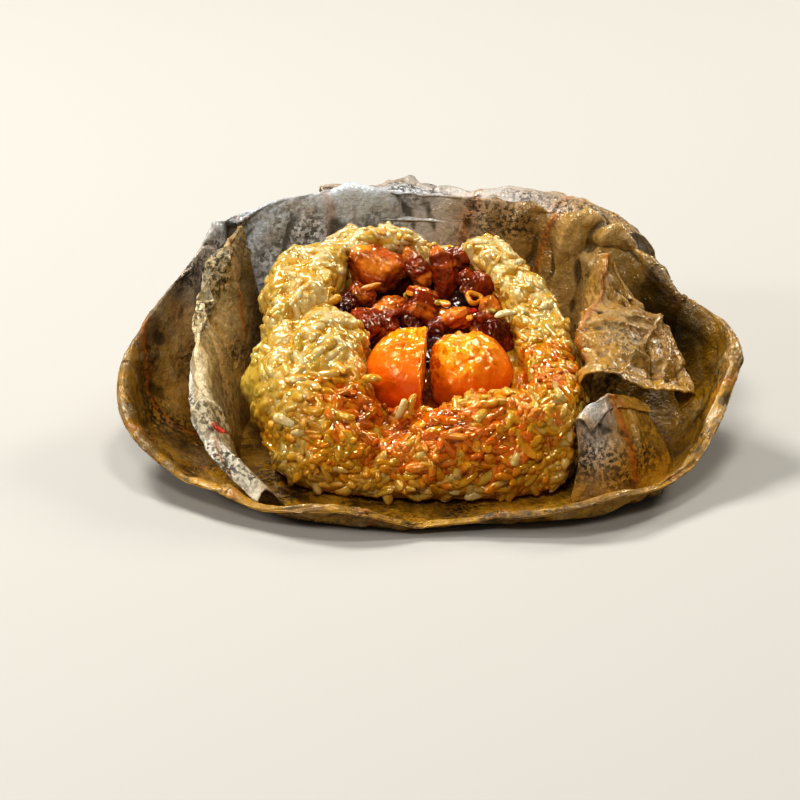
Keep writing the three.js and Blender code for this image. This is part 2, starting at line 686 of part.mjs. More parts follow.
const group = buildPart();
export default group;
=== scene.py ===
"""Lotus leaf sticky rice, dressed for its picture.

A parcel of steamed sticky rice lies open on its own lotus leaf. The leaf is made
of creased sheets, the rice of a soft core with whole grains over it, and in the
open middle lie chunks of braised meat in sauce and the two halves of an egg yolk.

Lists are in millimetres, in the frame of the leaf's flat middle: +X right, +Y to
the back, +Z up. `to_part` moves them under the middle of the part's box.
"""

import itertools
import logging
import math
from dataclasses import dataclass, field
from enum import Enum
from typing import Callable

import bpy
import numpy as np
from mathutils import Euler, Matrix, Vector


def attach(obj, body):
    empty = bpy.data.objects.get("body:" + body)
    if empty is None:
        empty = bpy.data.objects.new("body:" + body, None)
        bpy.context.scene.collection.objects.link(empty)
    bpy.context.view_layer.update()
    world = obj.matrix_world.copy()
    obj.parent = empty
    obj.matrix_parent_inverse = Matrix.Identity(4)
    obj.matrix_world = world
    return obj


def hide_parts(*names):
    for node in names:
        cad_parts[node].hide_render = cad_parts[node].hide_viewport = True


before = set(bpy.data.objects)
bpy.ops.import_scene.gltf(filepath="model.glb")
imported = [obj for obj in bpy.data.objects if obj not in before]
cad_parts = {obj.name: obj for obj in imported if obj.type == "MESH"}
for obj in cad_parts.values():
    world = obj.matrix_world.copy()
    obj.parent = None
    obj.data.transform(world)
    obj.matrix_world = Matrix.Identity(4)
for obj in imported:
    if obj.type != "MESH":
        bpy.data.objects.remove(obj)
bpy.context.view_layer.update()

Array = np.ndarray
log = logging.getLogger("lotus_rice")

MM = 0.001
MIDDLE = np.array([0.0, 8.5, 0.0])
BODY = "root"
SHEET_UV = "leaf"


# ===== Small tools for shapes =====

def smooth(value: Array, low: float, high: float) -> Array:
    """Ease a value from 0 at low to 1 at high."""
    part = np.clip((value - low) / (high - low), 0.0, 1.0)
    return part * part * (3.0 - 2.0 * part)


def turns(count: int) -> Array:
    """Angles of even steps once round a circle."""
    return 2.0 * math.pi * np.arange(count) / count


def mix(first: Array, second: Array, part: Array) -> Array:
    """Blend two values; part 0 gives the first and 1 the second."""
    return first + (second - first) * part


def unit(vectors: Array) -> Array:
    """Scale vectors in the last axis to length one."""
    length = np.linalg.norm(vectors, axis=-1, keepdims=True)
    return vectors / np.maximum(length, 1e-9)


LATTICE_KEYS = (73856093, 19349663, 83492791)
SEED_KEY = 6542989
KEY_MIXERS = ((13, 1274126177), (11, 668265263))
KEY_MASK = 0x7FFFFFFF


def value_noise(points: Array, cell: float, seed: int) -> Array:
    """Make a smooth random field.

    Each corner of a cubic lattice has a random value, and a point takes the
    eased mix of the eight corners round it.

    Args:
        points: Places, shape (..., 3).
        cell: Edge of a lattice cell.
        seed: Chooses the field.

    Returns:
        Values from -1 to 1, shape (...).
    """
    scaled = points / cell
    corner = np.floor(scaled).astype(np.int64)
    part = smooth(scaled - corner, 0.0, 1.0)
    total = np.zeros(points.shape[:-1])
    for step in itertools.product((0, 1), repeat=3):
        keys = (corner + np.array(step)) * LATTICE_KEYS
        key = keys[..., 0] ^ keys[..., 1] ^ keys[..., 2]
        key = (key ^ (seed * SEED_KEY)) & KEY_MASK
        for shift, factor in KEY_MIXERS:
            key = (key ^ (key >> shift)) * factor & KEY_MASK
        value = ((key >> 7) & 0xFFFF) / 32767.5 - 1.0
        share = np.prod(np.where(np.array(step) == 1, part, 1.0 - part), axis=-1)
        total += share * value
    return total


def fractal(points: Array, cell: float, seed: int, octaves: int = 3) -> Array:
    """Sum value noise of halving cell and height.

    Args:
        points: Places, shape (..., 3).
        cell: Edge of the widest lattice cell.
        seed: Chooses the field.
        octaves: How many fields are added up.

    Returns:
        Values about -1 to 1, shape (...).
    """
    total = np.zeros(points.shape[:-1])
    for octave in range(octaves):
        total += value_noise(points, cell / 2 ** octave, seed + octave) / 2 ** octave
    return total / 1.6


def bell(points: Array, at: tuple, reach: float | tuple) -> Array:
    """Fall off from 1 round a place: e to minus the square of the distance over the reach."""
    return np.exp(-np.sum(((points - np.array(at)) / np.array(reach)) ** 2, axis=-1))


def line_distance(points: Array, line: tuple | Array) -> Array:
    """Distance of points to a line of straight parts.

    On each part the nearest place is the point's shadow on it, held between
    its ends; the least of the distances counts.

    Args:
        points: Places, shape (..., n).
        line: Corners of the line, each of n numbers.

    Returns:
        Distances, shape (...).
    """
    corners = np.array(line, dtype=float)
    nearest = np.full(points.shape[:-1], np.inf)
    for start, end in zip(corners[:-1], corners[1:]):
        step = end - start
        part = np.clip(((points - start) @ step) / (step @ step), 0.0, 1.0)
        gap = np.linalg.norm(points - start - part[..., None] * step, axis=-1)
        nearest = np.minimum(nearest, gap)
    return nearest


def crumpled(points: Array, period: float, seed: int, folds: int = 6) -> Array:
    """Facets between sharp ridges, as in crumpled paper.

    Each fold is a triangle wave along a direction of its own, bent by soft
    noise and present only in patches; the folds are added up.

    Args:
        points: Places, shape (..., 3).
        period: Usual distance between ridges.
        seed: Chooses the folds.
        folds: Number of folds.

    Returns:
        Heights, about -1 to 1.
    """
    draw = np.random.default_rng(seed)
    total = np.zeros(points.shape[:-1])
    for fold in range(folds):
        way = unit(draw.normal(size=3))
        wave = period * draw.uniform(0.6, 1.6)
        bend = 0.8 * wave * value_noise(points, 2.0 * wave, seed + fold)
        place = (points @ way + bend) / wave + draw.random()
        ridge = 4.0 * np.abs(place - np.floor(place + 0.5)) - 1.0
        total += ridge * smooth(value_noise(points, 1.6 * wave, seed + 50 + fold), -0.3, 0.4)
    return total / math.sqrt(folds)


def follow(points: Array, part: Array, closed: bool) -> Array:
    """Walk a Catmull-Rom curve.

    Between two points the curve is the cubic whose slope at each is half the
    step between that point's neighbours. An open curve is run on straight past
    its ends.

    Args:
        points: Curve points, shape (n, ..., 3).
        part: Places along the whole curve from 0 to 1, shape (m,).
        closed: Whether the last point leads back to the first.

    Returns:
        Places on the curve, shape (m, ..., 3).
    """
    count = len(points)
    if closed:
        place = (part % 1.0) * count
        cell = np.floor(place).astype(int) % count
        near = [points[(cell + k) % count] for k in (-1, 0, 1, 2)]
        weight = place - np.floor(place)
    else:
        first = 2.0 * points[:1] - points[1:2]
        last = 2.0 * points[-1:] - points[-2:-1]
        padded = np.concatenate([first, points, last])
        place = np.clip(part, 0.0, 1.0) * (count - 1)
        cell = np.minimum(place.astype(int), count - 2)
        near = [padded[cell + 1 + k] for k in (-1, 0, 1, 2)]
        weight = place - cell
    weight = weight.reshape((-1,) + (1,) * (points.ndim - 1))
    before, start, end, after = near
    slope_in = 0.5 * (end - before)
    slope_out = 0.5 * (after - start)
    bend = -3.0 * start + 3.0 * end - 2.0 * slope_in - slope_out
    twist = 2.0 * start - 2.0 * end + slope_in + slope_out
    return start + weight * (slope_in + weight * (bend + weight * twist))


def loft(rails: Array, along: Array, across: Array, closed: bool) -> Array:
    """Lay a surface through rails.

    Each rail is a curve; at each place along them a second curve runs through
    the rails' points, from the first rail to the last.

    Args:
        rails: Shape (rails, points, 3).
        along: Places along the rails, 0 to 1.
        across: Places from the first rail to the last, 0 to 1.
        closed: Whether the rails are closed rings.

    Returns:
        Grid of points, shape (across, along, 3).
    """
    ribs = follow(rails.transpose(1, 0, 2), along, closed)
    return follow(ribs.transpose(1, 0, 2), across, False)


def grid_normals(points: Array, closed: bool) -> Array:
    """Find a grid's normals: the step along crossed with the step across.

    Args:
        points: Grid of places, shape (rows, columns, 3).
        closed: Whether the last column joins the first.

    Returns:
        Unit normals, of the same shape.
    """
    if closed:
        along = np.roll(points, -1, axis=1) - np.roll(points, 1, axis=1)
    else:
        along = np.gradient(points, axis=1)
    across = np.gradient(points, axis=0)
    return unit(np.cross(along, across))


def blurred(values: Array, reach: int, closed: bool) -> Array:
    """Take the mean of a grid over a square window, as a difference of running sums.

    Args:
        values: Grid of numbers, shape (rows, columns).
        reach: How many cells the window reaches each way.
        closed: Whether the last column joins the first.

    Returns:
        The means, of the same shape.
    """
    for axis, mode in ((0, "edge"), (1, "wrap" if closed else "edge")):
        pads = [(0, 0), (0, 0)]
        pads[axis] = (reach + 1, reach)
        total = np.cumsum(np.pad(values, pads, mode=mode), axis=axis)
        size = values.shape[axis]
        far = np.take(total, np.arange(size) + 2 * reach + 1, axis=axis)
        near = np.take(total, np.arange(size), axis=axis)
        values = (far - near) / (2 * reach + 1)
    return values


def grid_quads(rows: int, columns: int, closed: bool) -> Array:
    """Four-cornered faces of a grid of points, row by row.

    Args:
        rows: Number of point rows.
        columns: Number of points in a row.
        closed: Whether the last column joins the first.

    Returns:
        Point numbers, shape (faces, 4).
    """
    wide = columns if closed else columns - 1
    row, column = np.meshgrid(np.arange(rows - 1), np.arange(wide), indexing="ij")
    after = (column + 1) % columns
    low = row * columns
    high = low + columns
    quads = np.stack([low + column, low + after, high + after, high + column], axis=-1)
    return quads.reshape(-1, 4)


def fan(start: int, columns: int, tip: int, turned: bool = False) -> Array:
    """Triangles that close a ring of points with one tip.

    Args:
        start: Number of the ring's first point.
        columns: Points in the ring.
        tip: Number of the tip.
        turned: Whether the triangles look the other way.

    Returns:
        Point numbers, shape (columns, 3).
    """
    ring = np.arange(columns) + start
    after = np.roll(ring, -1)
    pair = (ring, after) if turned else (after, ring)
    return np.stack([*pair, np.full(columns, tip)], axis=-1)


def fans(first: int, last: int, columns: int, tip: int) -> list[Array]:
    """Close the first and the last ring of a body; its two tips follow each other."""
    return [fan(first, columns, tip), fan(last, columns, tip + 1, True)]


@dataclass
class Shape:
    """A mesh in the making, in millimetres of the leaf's frame."""

    points: Array
    faces: list[Array]
    values: dict[str, Array] = field(default_factory=dict)
    uv: Array | None = None

    def joined(self, other: "Shape") -> "Shape":
        """Put two shapes without values into one mesh."""
        moved = [faces + len(self.points) for faces in other.faces]
        return Shape(np.concatenate([self.points, other.points]), self.faces + moved)


def to_part(points: Array) -> Array:
    """Move millimetres of the leaf's frame to metres under the box's middle."""
    return (points - MIDDLE) * MM


# ===== Small tools for materials =====

def colour(red: float, green: float, blue: float) -> tuple[float, float, float, float]:
    """Turn a screen colour into light values by the usual screen curve.

    Args:
        red: Red from 0 to 255.
        green: Green from 0 to 255.
        blue: Blue from 0 to 255.

    Returns:
        Red, green and blue light, and 1 for opaque.
    """
    def light(value: float) -> float:
        """One channel."""
        part = value / 255.0
        return part / 12.92 if part <= 0.04045 else ((part + 0.055) / 1.055) ** 2.4
    return light(red), light(green), light(blue), 1.0


Socket = bpy.types.NodeSocket


class Nodes:
    """Short calls that build one node tree."""

    def __init__(self, tree: bpy.types.NodeTree) -> None:
        """Start on a tree."""
        self.tree = tree

    def add(self, kind: str, **inputs: object) -> bpy.types.Node:
        """Add a node and fill its inputs.

        Args:
            kind: The node's type name.
            inputs: Input values or sockets by name; names that match one of
                the node's settings set that instead.

        Returns:
            The node.
        """
        node = self.tree.nodes.new(kind)
        for name, value in inputs.items():
            if hasattr(node, name):
                setattr(node, name, value)
            else:
                self.fill(node.inputs[name], value)
        return node

    def fill(self, socket: Socket, value: object) -> None:
        """Link a socket to another, or set its value.

        Args:
            socket: The socket that takes the value.
            value: Another socket, or a plain value.
        """
        if isinstance(value, Socket):
            self.tree.links.new(value, socket)
        else:
            socket.default_value = value

    def math(self, operation: str, *values: object) -> Socket:
        """Run one Math operation over two or more values, from the first to the last.

        Args:
            operation: The operation's name.
            values: Sockets or numbers.

        Returns:
            The result.
        """
        total = values[0]
        for value in values[1:]:
            node = self.add("ShaderNodeMath", operation=operation)
            self.fill(node.inputs[0], total)
            self.fill(node.inputs[1], value)
            total = node.outputs[0]
        return total

    def vector_math(self, operation: str, *values: object) -> Socket:
        """Add a Vector Math node.

        Args:
            operation: The operation's name.
            values: Its inputs in order.

        Returns:
            The resulting vector.
        """
        node = self.add("ShaderNodeVectorMath", operation=operation)
        for socket, value in zip(node.inputs, values):
            self.fill(socket, value)
        return node.outputs[0]

    def blend(self, part: object, first: object, second: object) -> Socket:
        """Blend two colours.

        Args:
            part: 0 for the first colour, 1 for the second.
            first: One colour.
            second: The other colour.

        Returns:
            The blended colour.
        """
        node = self.add("ShaderNodeMix", data_type="RGBA")
        for number, value in ((0, part), (6, first), (7, second)):
            self.fill(node.inputs[number], value)
        return node.outputs[2]

    def layers(self, base: Socket, *coats: tuple[object, object]) -> Socket:
        """Lay colours over a base one after another.

        Args:
            base: The colour underneath.
            coats: For each coat how much it covers, and its colour.

        Returns:
            The colour on top.
        """
        for part, tint in coats:
            base = self.blend(part, base, tint)
        return base

    def step(self, value: object, low: object, high: object,
             out_low: float = 0.0, out_high: float = 1.0) -> Socket:
        """Ease a value between two limits onto an output range.

        Args:
            value: The value.
            low: Limit where the output starts.
            high: Limit where it ends.
            out_low: Output at the low limit.
            out_high: Output at the high limit.

        Returns:
            The eased value.
        """
        node = self.add("ShaderNodeMapRange", interpolation_type="SMOOTHSTEP")
        for number, entry in enumerate((value, low, high, out_low, out_high)):
            self.fill(node.inputs[number], entry)
        return node.outputs[0]

    def noise(self, vector: Socket, scale: object, detail: float = 3.0,
              rough: float = 0.55) -> Socket:
        """Noise from 0 to 1.

        Args:
            vector: The place.
            scale: Cells for each unit of the vector.
            detail: How many finer noises are added.
            rough: How strong the finer ones are.

        Returns:
            The noise.
        """
        node = self.add("ShaderNodeTexNoise", Vector=vector, Scale=scale, Detail=detail,
                        Roughness=rough)
        return node.outputs["Fac"]

    def value_of(self, name: str) -> Socket:
        """Read a value that the mesh carries at each point."""
        return self.add("ShaderNodeAttribute", attribute_name=name).outputs["Fac"]

    def object_place(self) -> Socket:
        """The place on the object, in metres."""
        return self.add("ShaderNodeTexCoord").outputs["Object"]

    def sheet_place(self) -> Socket:
        """The place on a leaf's sheet, along and across it."""
        return self.add("ShaderNodeUVMap", uv_map=SHEET_UV).outputs["UV"]

    def group(self, name: str, **inputs: object) -> Socket:
        """Place a shared group.

        Args:
            name: The group's name.
            inputs: Its inputs by name.

        Returns:
            Its output.
        """
        node = self.tree.nodes.new("ShaderNodeGroup")
        node.node_tree = GROUPS[name]
        for label, value in inputs.items():
            self.fill(node.inputs[label], value)
        return node.outputs[0]


@dataclass(frozen=True)
class Skin:
    """What a surface does with light: how it shines, and how light comes back out of it."""

    specular: float = 0.5
    tint: tuple = (1.0, 1.0, 1.0, 1.0)
    ior: float = 1.5
    glow: float = 0.0
    radius: tuple = (1.0, 0.2, 0.1)
    reach: float = 0.002

    def dress(self, shader: bpy.types.Node) -> None:
        """Set the constants on a shader's own sockets.

        Args:
            shader: The Principled shader.
        """
        constants = {
            "Specular IOR Level": self.specular, "Specular Tint": self.tint, "IOR": self.ior,
            "Subsurface Weight": self.glow, "Subsurface Radius": self.radius,
            "Subsurface Scale": self.reach,
        }
        for label, value in constants.items():
            shader.inputs[label].default_value = value


@dataclass
class Dressing:
    """A material in the making: its node calls and its Principled shader."""

    material: bpy.types.Material
    nodes: Nodes
    shader: bpy.types.Node

    def surface(self, tint: Socket, roughness: object) -> None:
        """Give the shader its colour and its roughness.

        Args:
            tint: The colour.
            roughness: A socket or a number.
        """
        self.nodes.fill(self.shader.inputs["Base Color"], tint)
        self.nodes.fill(self.shader.inputs["Roughness"], roughness)

    def raised(self, *layers: tuple[Socket, float], under: Socket | None = None) -> None:
        """Raise height fields one over another in the shader's normal.

        Args:
            layers: For each field its height from 0 to 1, and what a height of
                1 stands for, in metres.
            under: A normal that the first one builds on.
        """
        normal = under
        for height, depth in layers:
            node = self.nodes.add("ShaderNodeBump", Height=height, Distance=depth, Strength=1.0)
            if normal is not None:
                self.nodes.fill(node.inputs["Normal"], normal)
            normal = node.outputs["Normal"]
        self.nodes.fill(self.shader.inputs["Normal"], normal)


def new_material(name: str, skin: Skin) -> Dressing:
    """Start a node material.

    Args:
        name: The material's name.
        skin: How it shines and glows.

    Returns:
        The material with its node calls and its shader.
    """
    material = bpy.data.materials.new(name)
    material.use_nodes = True
    shader = material.node_tree.nodes["Principled BSDF"]
    skin.dress(shader)
    return Dressing(material, Nodes(material.node_tree), shader)


def new_group(name: str, numbers: dict[str, float], output: str,
              kind: str = "NodeSocketFloat") -> tuple[Nodes, bpy.types.bpy_prop_collection, Socket]:
    """Start a shader node group that takes a vector and some numbers.

    Args:
        name: The group's name.
        numbers: Start value of each number that it takes.
        output: Name of its output.
        kind: Socket kind of its output.

    Returns:
        Its node calls, what it is given by name, and the socket of its output.
    """
    tree = bpy.data.node_groups.new(name, "ShaderNodeTree")
    tree.interface.new_socket("Vector", in_out="INPUT", socket_type="NodeSocketVector")
    for label, value in numbers.items():
        socket = tree.interface.new_socket(label, in_out="INPUT", socket_type="NodeSocketFloat")
        socket.default_value = value
    tree.interface.new_socket(output, in_out="OUTPUT", socket_type=kind)
    start = tree.nodes.new("NodeGroupInput")
    end = tree.nodes.new("NodeGroupOutput")
    return Nodes(tree), start.outputs, end.inputs[output]


def patches_group() -> bpy.types.NodeTree:
    """Group: soft patches of a given scale, with how much they cover and how crisp they are.

    Noise is eased between two limits that lie to each side of 1 less the cover.

    Returns:
        The group.
    """
    nodes, given, mask = new_group("patches", {"Scale": 100.0, "Cover": 0.5, "Soft": 0.1}, "Mask")
    noise = nodes.noise(given["Vector"], given["Scale"], 6.0, 0.62)
    limit = nodes.math("SUBTRACT", 1.0, given["Cover"])
    low = nodes.math("SUBTRACT", limit, given["Soft"])
    high = nodes.math("ADD", limit, given["Soft"])
    nodes.fill(mask, nodes.step(noise, low, high))
    return nodes.tree


def wet_film_group() -> bpy.types.NodeTree:
    """Group: the fine unevenness of a wet skin, as a height from 0 to 1.

    Broad noise, and on it small rounded cells of about a third of its scale and height.

    Returns:
        The group.
    """
    nodes, given, height = new_group("wet_film", {"Scale": 400.0}, "Height")
    broad = nodes.noise(given["Vector"], given["Scale"], 2.0, 0.5)
    finer = nodes.math("MULTIPLY", given["Scale"], 3.1)
    cells = nodes.add("ShaderNodeTexVoronoi", feature="SMOOTH_F1", Vector=given["Vector"],
                      Scale=finer)
    fine = nodes.math("MULTIPLY", cells.outputs["Distance"], 0.35)
    nodes.fill(height, nodes.math("ADD", fine, broad))
    return nodes.tree


def facets_group() -> bpy.types.NodeTree:
    """Group: a normal that is tilted a little, each small cell its own way.

    Each cell's random colour, less its mean, is added to the surface's normal.

    Returns:
        The group.
    """
    nodes, given, normal = new_group("facets", {"Scale": 1300.0, "Tilt": 0.5}, "Normal",
                                     "NodeSocketVector")
    cells = nodes.add("ShaderNodeTexVoronoi", Vector=given["Vector"], Scale=given["Scale"])
    away = nodes.vector_math("SUBTRACT", cells.outputs["Color"], (0.5, 0.5, 0.5))
    surface = nodes.add("ShaderNodeNewGeometry").outputs["Normal"]
    tilted = nodes.vector_math("MULTIPLY_ADD", away, given["Tilt"], surface)
    nodes.fill(normal, nodes.vector_math("NORMALIZE", tilted))
    return nodes.tree


GROUPS = {"patches": patches_group(), "wet_film": wet_film_group(), "facets": facets_group()}


# ===== Finishes =====
# A noise is given by its scale, detail and roughness. A range is given by the
# limits that a value is eased between, and by what it then gives at each.

@dataclass(frozen=True)
class LeafFinish:
    """Steamed lotus leaf: olive and tan with black specks; pale and silvery where it is wet and
    raised, which is partly its paler tone and partly painted highlight and painted sky reflection;
    dark in creases and shadowed patches, which is painted shade.
    """

    name: str = "steamed_leaf"
    tan: tuple = colour(184, 136, 38)
    olive: tuple = colour(112, 78, 10)
    # Pale: partly the leaf's paler tone, partly painted highlight on wet crests and edges.
    pale: tuple = colour(220, 206, 164)
    # Bluish grey: painted reflection of the sky on the wet leaf.
    reflected_sky: tuple = colour(202, 212, 222)
    gold: tuple = colour(184, 130, 14)
    # Black: the leaf's own specks, and painted shade in creases and shadowed patches.
    speck_and_shade_black: tuple = colour(22, 18, 6)
    rib: tuple = colour(176, 98, 10)
    skin: Skin = Skin(specular=0.55, tint=(1.0, 0.93, 0.78, 1.0))
    broad: tuple = (48.0, 5.0, 0.6)
    medium: tuple = (170.0, 6.0, 0.68)
    fine: tuple = (620.0, 4.0, 0.6)
    wrinkle: tuple = (150.0, 3.0)
    fibre: tuple = (1.0, 4.0, 0.6)
    fibre_drawn: tuple = (60.0, 7.0, 1.0)
    vein_warp: tuple = (12.0, 2.0, 0.5)
    vein_bend: tuple = (0.06, 0.06, 0.0)
    vein_cells: float = 56.0
    broad_tan: tuple = (0.4, 0.6)
    medium_tan: tuple = (0.46, 0.66, 0.0, 0.7)
    medium_olive: tuple = (0.5, 0.3, 0.0, 0.7)
    fibre_olive: tuple = (0.56, 0.72, 0.0, 0.4)
    vein_line: tuple = (0.0, 0.12, 1.0, 0.0)
    vein_olive: float = 0.14
    crest: tuple = (0.12, 0.6)
    least_crest_highlight: float = 0.16
    pale_sheen_spots: tuple = (0.3, 0.62, 0.4, 0.95)
    sky_reflection_spread: tuple = (0.3, 0.6, 0.6, 1.0)
    crease_shade: tuple = (-0.25, -0.85, 0.0, 0.78)
    blots: float = 0.7
    spots: float = 0.9
    damp: tuple = (0.42, 0.62)
    roughness: tuple = (0.5, 0.12)
    wrinkle_depth: float = -0.0015
    grain_depth: float = 0.00022
    fibre_depth: float = 0.0002
    vein_depth: float = 0.00005

    def build(self) -> bpy.types.Material:
        """Make the material.

        Returns:
            The material.
        """
        dressing = new_material(self.name, self.skin)
        nodes = dressing.nodes
        place = nodes.object_place()
        medium = nodes.noise(place, *self.medium)
        fine = nodes.noise(place, *self.fine)
        raised, pale = nodes.value_of("raised"), nodes.value_of("pale")
        fibres, veins = self.fibres(nodes), self.veins(nodes)
        # Painted highlight: pale on the raised crests. The pale spots are partly the leaf's paler
        # tone and partly painted sheen, and the grey over its patches is painted reflection of the
        # sky.
        crest = nodes.step(raised, *self.crest)
        crest_highlight = nodes.math("MULTIPLY", crest, nodes.math("MAXIMUM", pale, self.least_crest_highlight))
        pale_sheen = nodes.math("MULTIPLY", pale, nodes.step(fine, *self.pale_sheen_spots))
        sky_reflection = nodes.math("MULTIPLY", nodes.value_of("reflected_sky"), nodes.step(medium, *self.sky_reflection_spread))
        start = nodes.step(nodes.noise(place, *self.broad), *self.broad_tan)
        tint = nodes.layers(
            nodes.blend(start, self.olive, self.tan),
            (nodes.step(medium, *self.medium_tan), self.tan),
            (nodes.step(medium, *self.medium_olive), self.olive),
            (nodes.value_of("gold"), self.gold),
            (nodes.math("MAXIMUM", crest_highlight, pale_sheen), self.pale),
            (sky_reflection, self.reflected_sky),
            (nodes.value_of("rib"), self.rib),
            (nodes.step(fibres, *self.fibre_olive), self.olive),
            (nodes.math("MULTIPLY", veins, self.vein_olive), self.olive),
            (self.specks_and_shade(nodes, place, raised), self.speck_and_shade_black))
        wet = nodes.math("MAXIMUM", nodes.step(medium, *self.damp), crest)
        dressing.surface(tint, nodes.step(wet, 0.0, 1.0, *self.roughness))
        middle = nodes.math("SUBTRACT", nodes.noise(place, *self.wrinkle), 0.5)
        wrinkle = nodes.math("ABSOLUTE", middle, 0.0)
        dressing.raised((wrinkle, self.wrinkle_depth), (fine, self.grain_depth),
                        (fibres, self.fibre_depth), (veins, self.vein_depth))
        return dressing.material

    def fibres(self, nodes: Nodes) -> Socket:
        """Fine streaks that run from the sheet's foot to its edge: noise drawn out that way.

        Args:
            nodes: The material's node calls.

        Returns:
            The streaks, from 0 to 1.
        """
        drawn = nodes.add("ShaderNodeMapping", Vector=nodes.sheet_place(), Scale=self.fibre_drawn)
        return nodes.noise(drawn.outputs["Vector"], *self.fibre)

    def specks_and_shade(self, nodes: Nodes, place: Socket, raised: Socket) -> Socket:
        """Where the leaf is black: specks in clusters, and painted shade in the bottoms of creases
        and over the dark patches.

        Args:
            nodes: The material's node calls.
            place: The place on the object.
            raised: How far the sheet stands out there.

        Returns:
            How black it is, from 0 to 1.
        """
        clusters = nodes.group("patches", Vector=place, Scale=70.0, Cover=0.5, Soft=0.14)
        specks = nodes.group("patches", Vector=place, Scale=860.0, Cover=0.5, Soft=0.04)
        blots = nodes.group("patches", Vector=place, Scale=300.0, Cover=0.42, Soft=0.06)
        marks = nodes.math("MAXIMUM", specks, nodes.math("MULTIPLY", blots, self.blots))
        spots = nodes.math("MULTIPLY", clusters, marks, self.spots)
        # Painted shade: black in the bottoms of creases, and over the dark patches.
        deep = nodes.step(raised, *self.crease_shade)
        return nodes.math("MAXIMUM", spots, deep, nodes.value_of("dark"))

    def veins(self, nodes: Nodes) -> Socket:
        """Fine net of veins: the edges of cells on the sheet, bent by noise.

        Args:
            nodes: The material's node calls.

        Returns:
            1 on a vein, 0 away from it.
        """
        uv = nodes.sheet_place()
        scale, detail, rough = self.vein_warp
        warp = nodes.add("ShaderNodeTexNoise", Vector=uv, Scale=scale, Detail=detail,
                         Roughness=rough)
        bent = nodes.vector_math("MULTIPLY_ADD", warp.outputs["Color"], self.vein_bend, uv)
        cells = nodes.add("ShaderNodeTexVoronoi", feature="DISTANCE_TO_EDGE", Vector=bent,
                          Scale=self.vein_cells)
        return nodes.step(cells.outputs["Distance"], *self.vein_line)


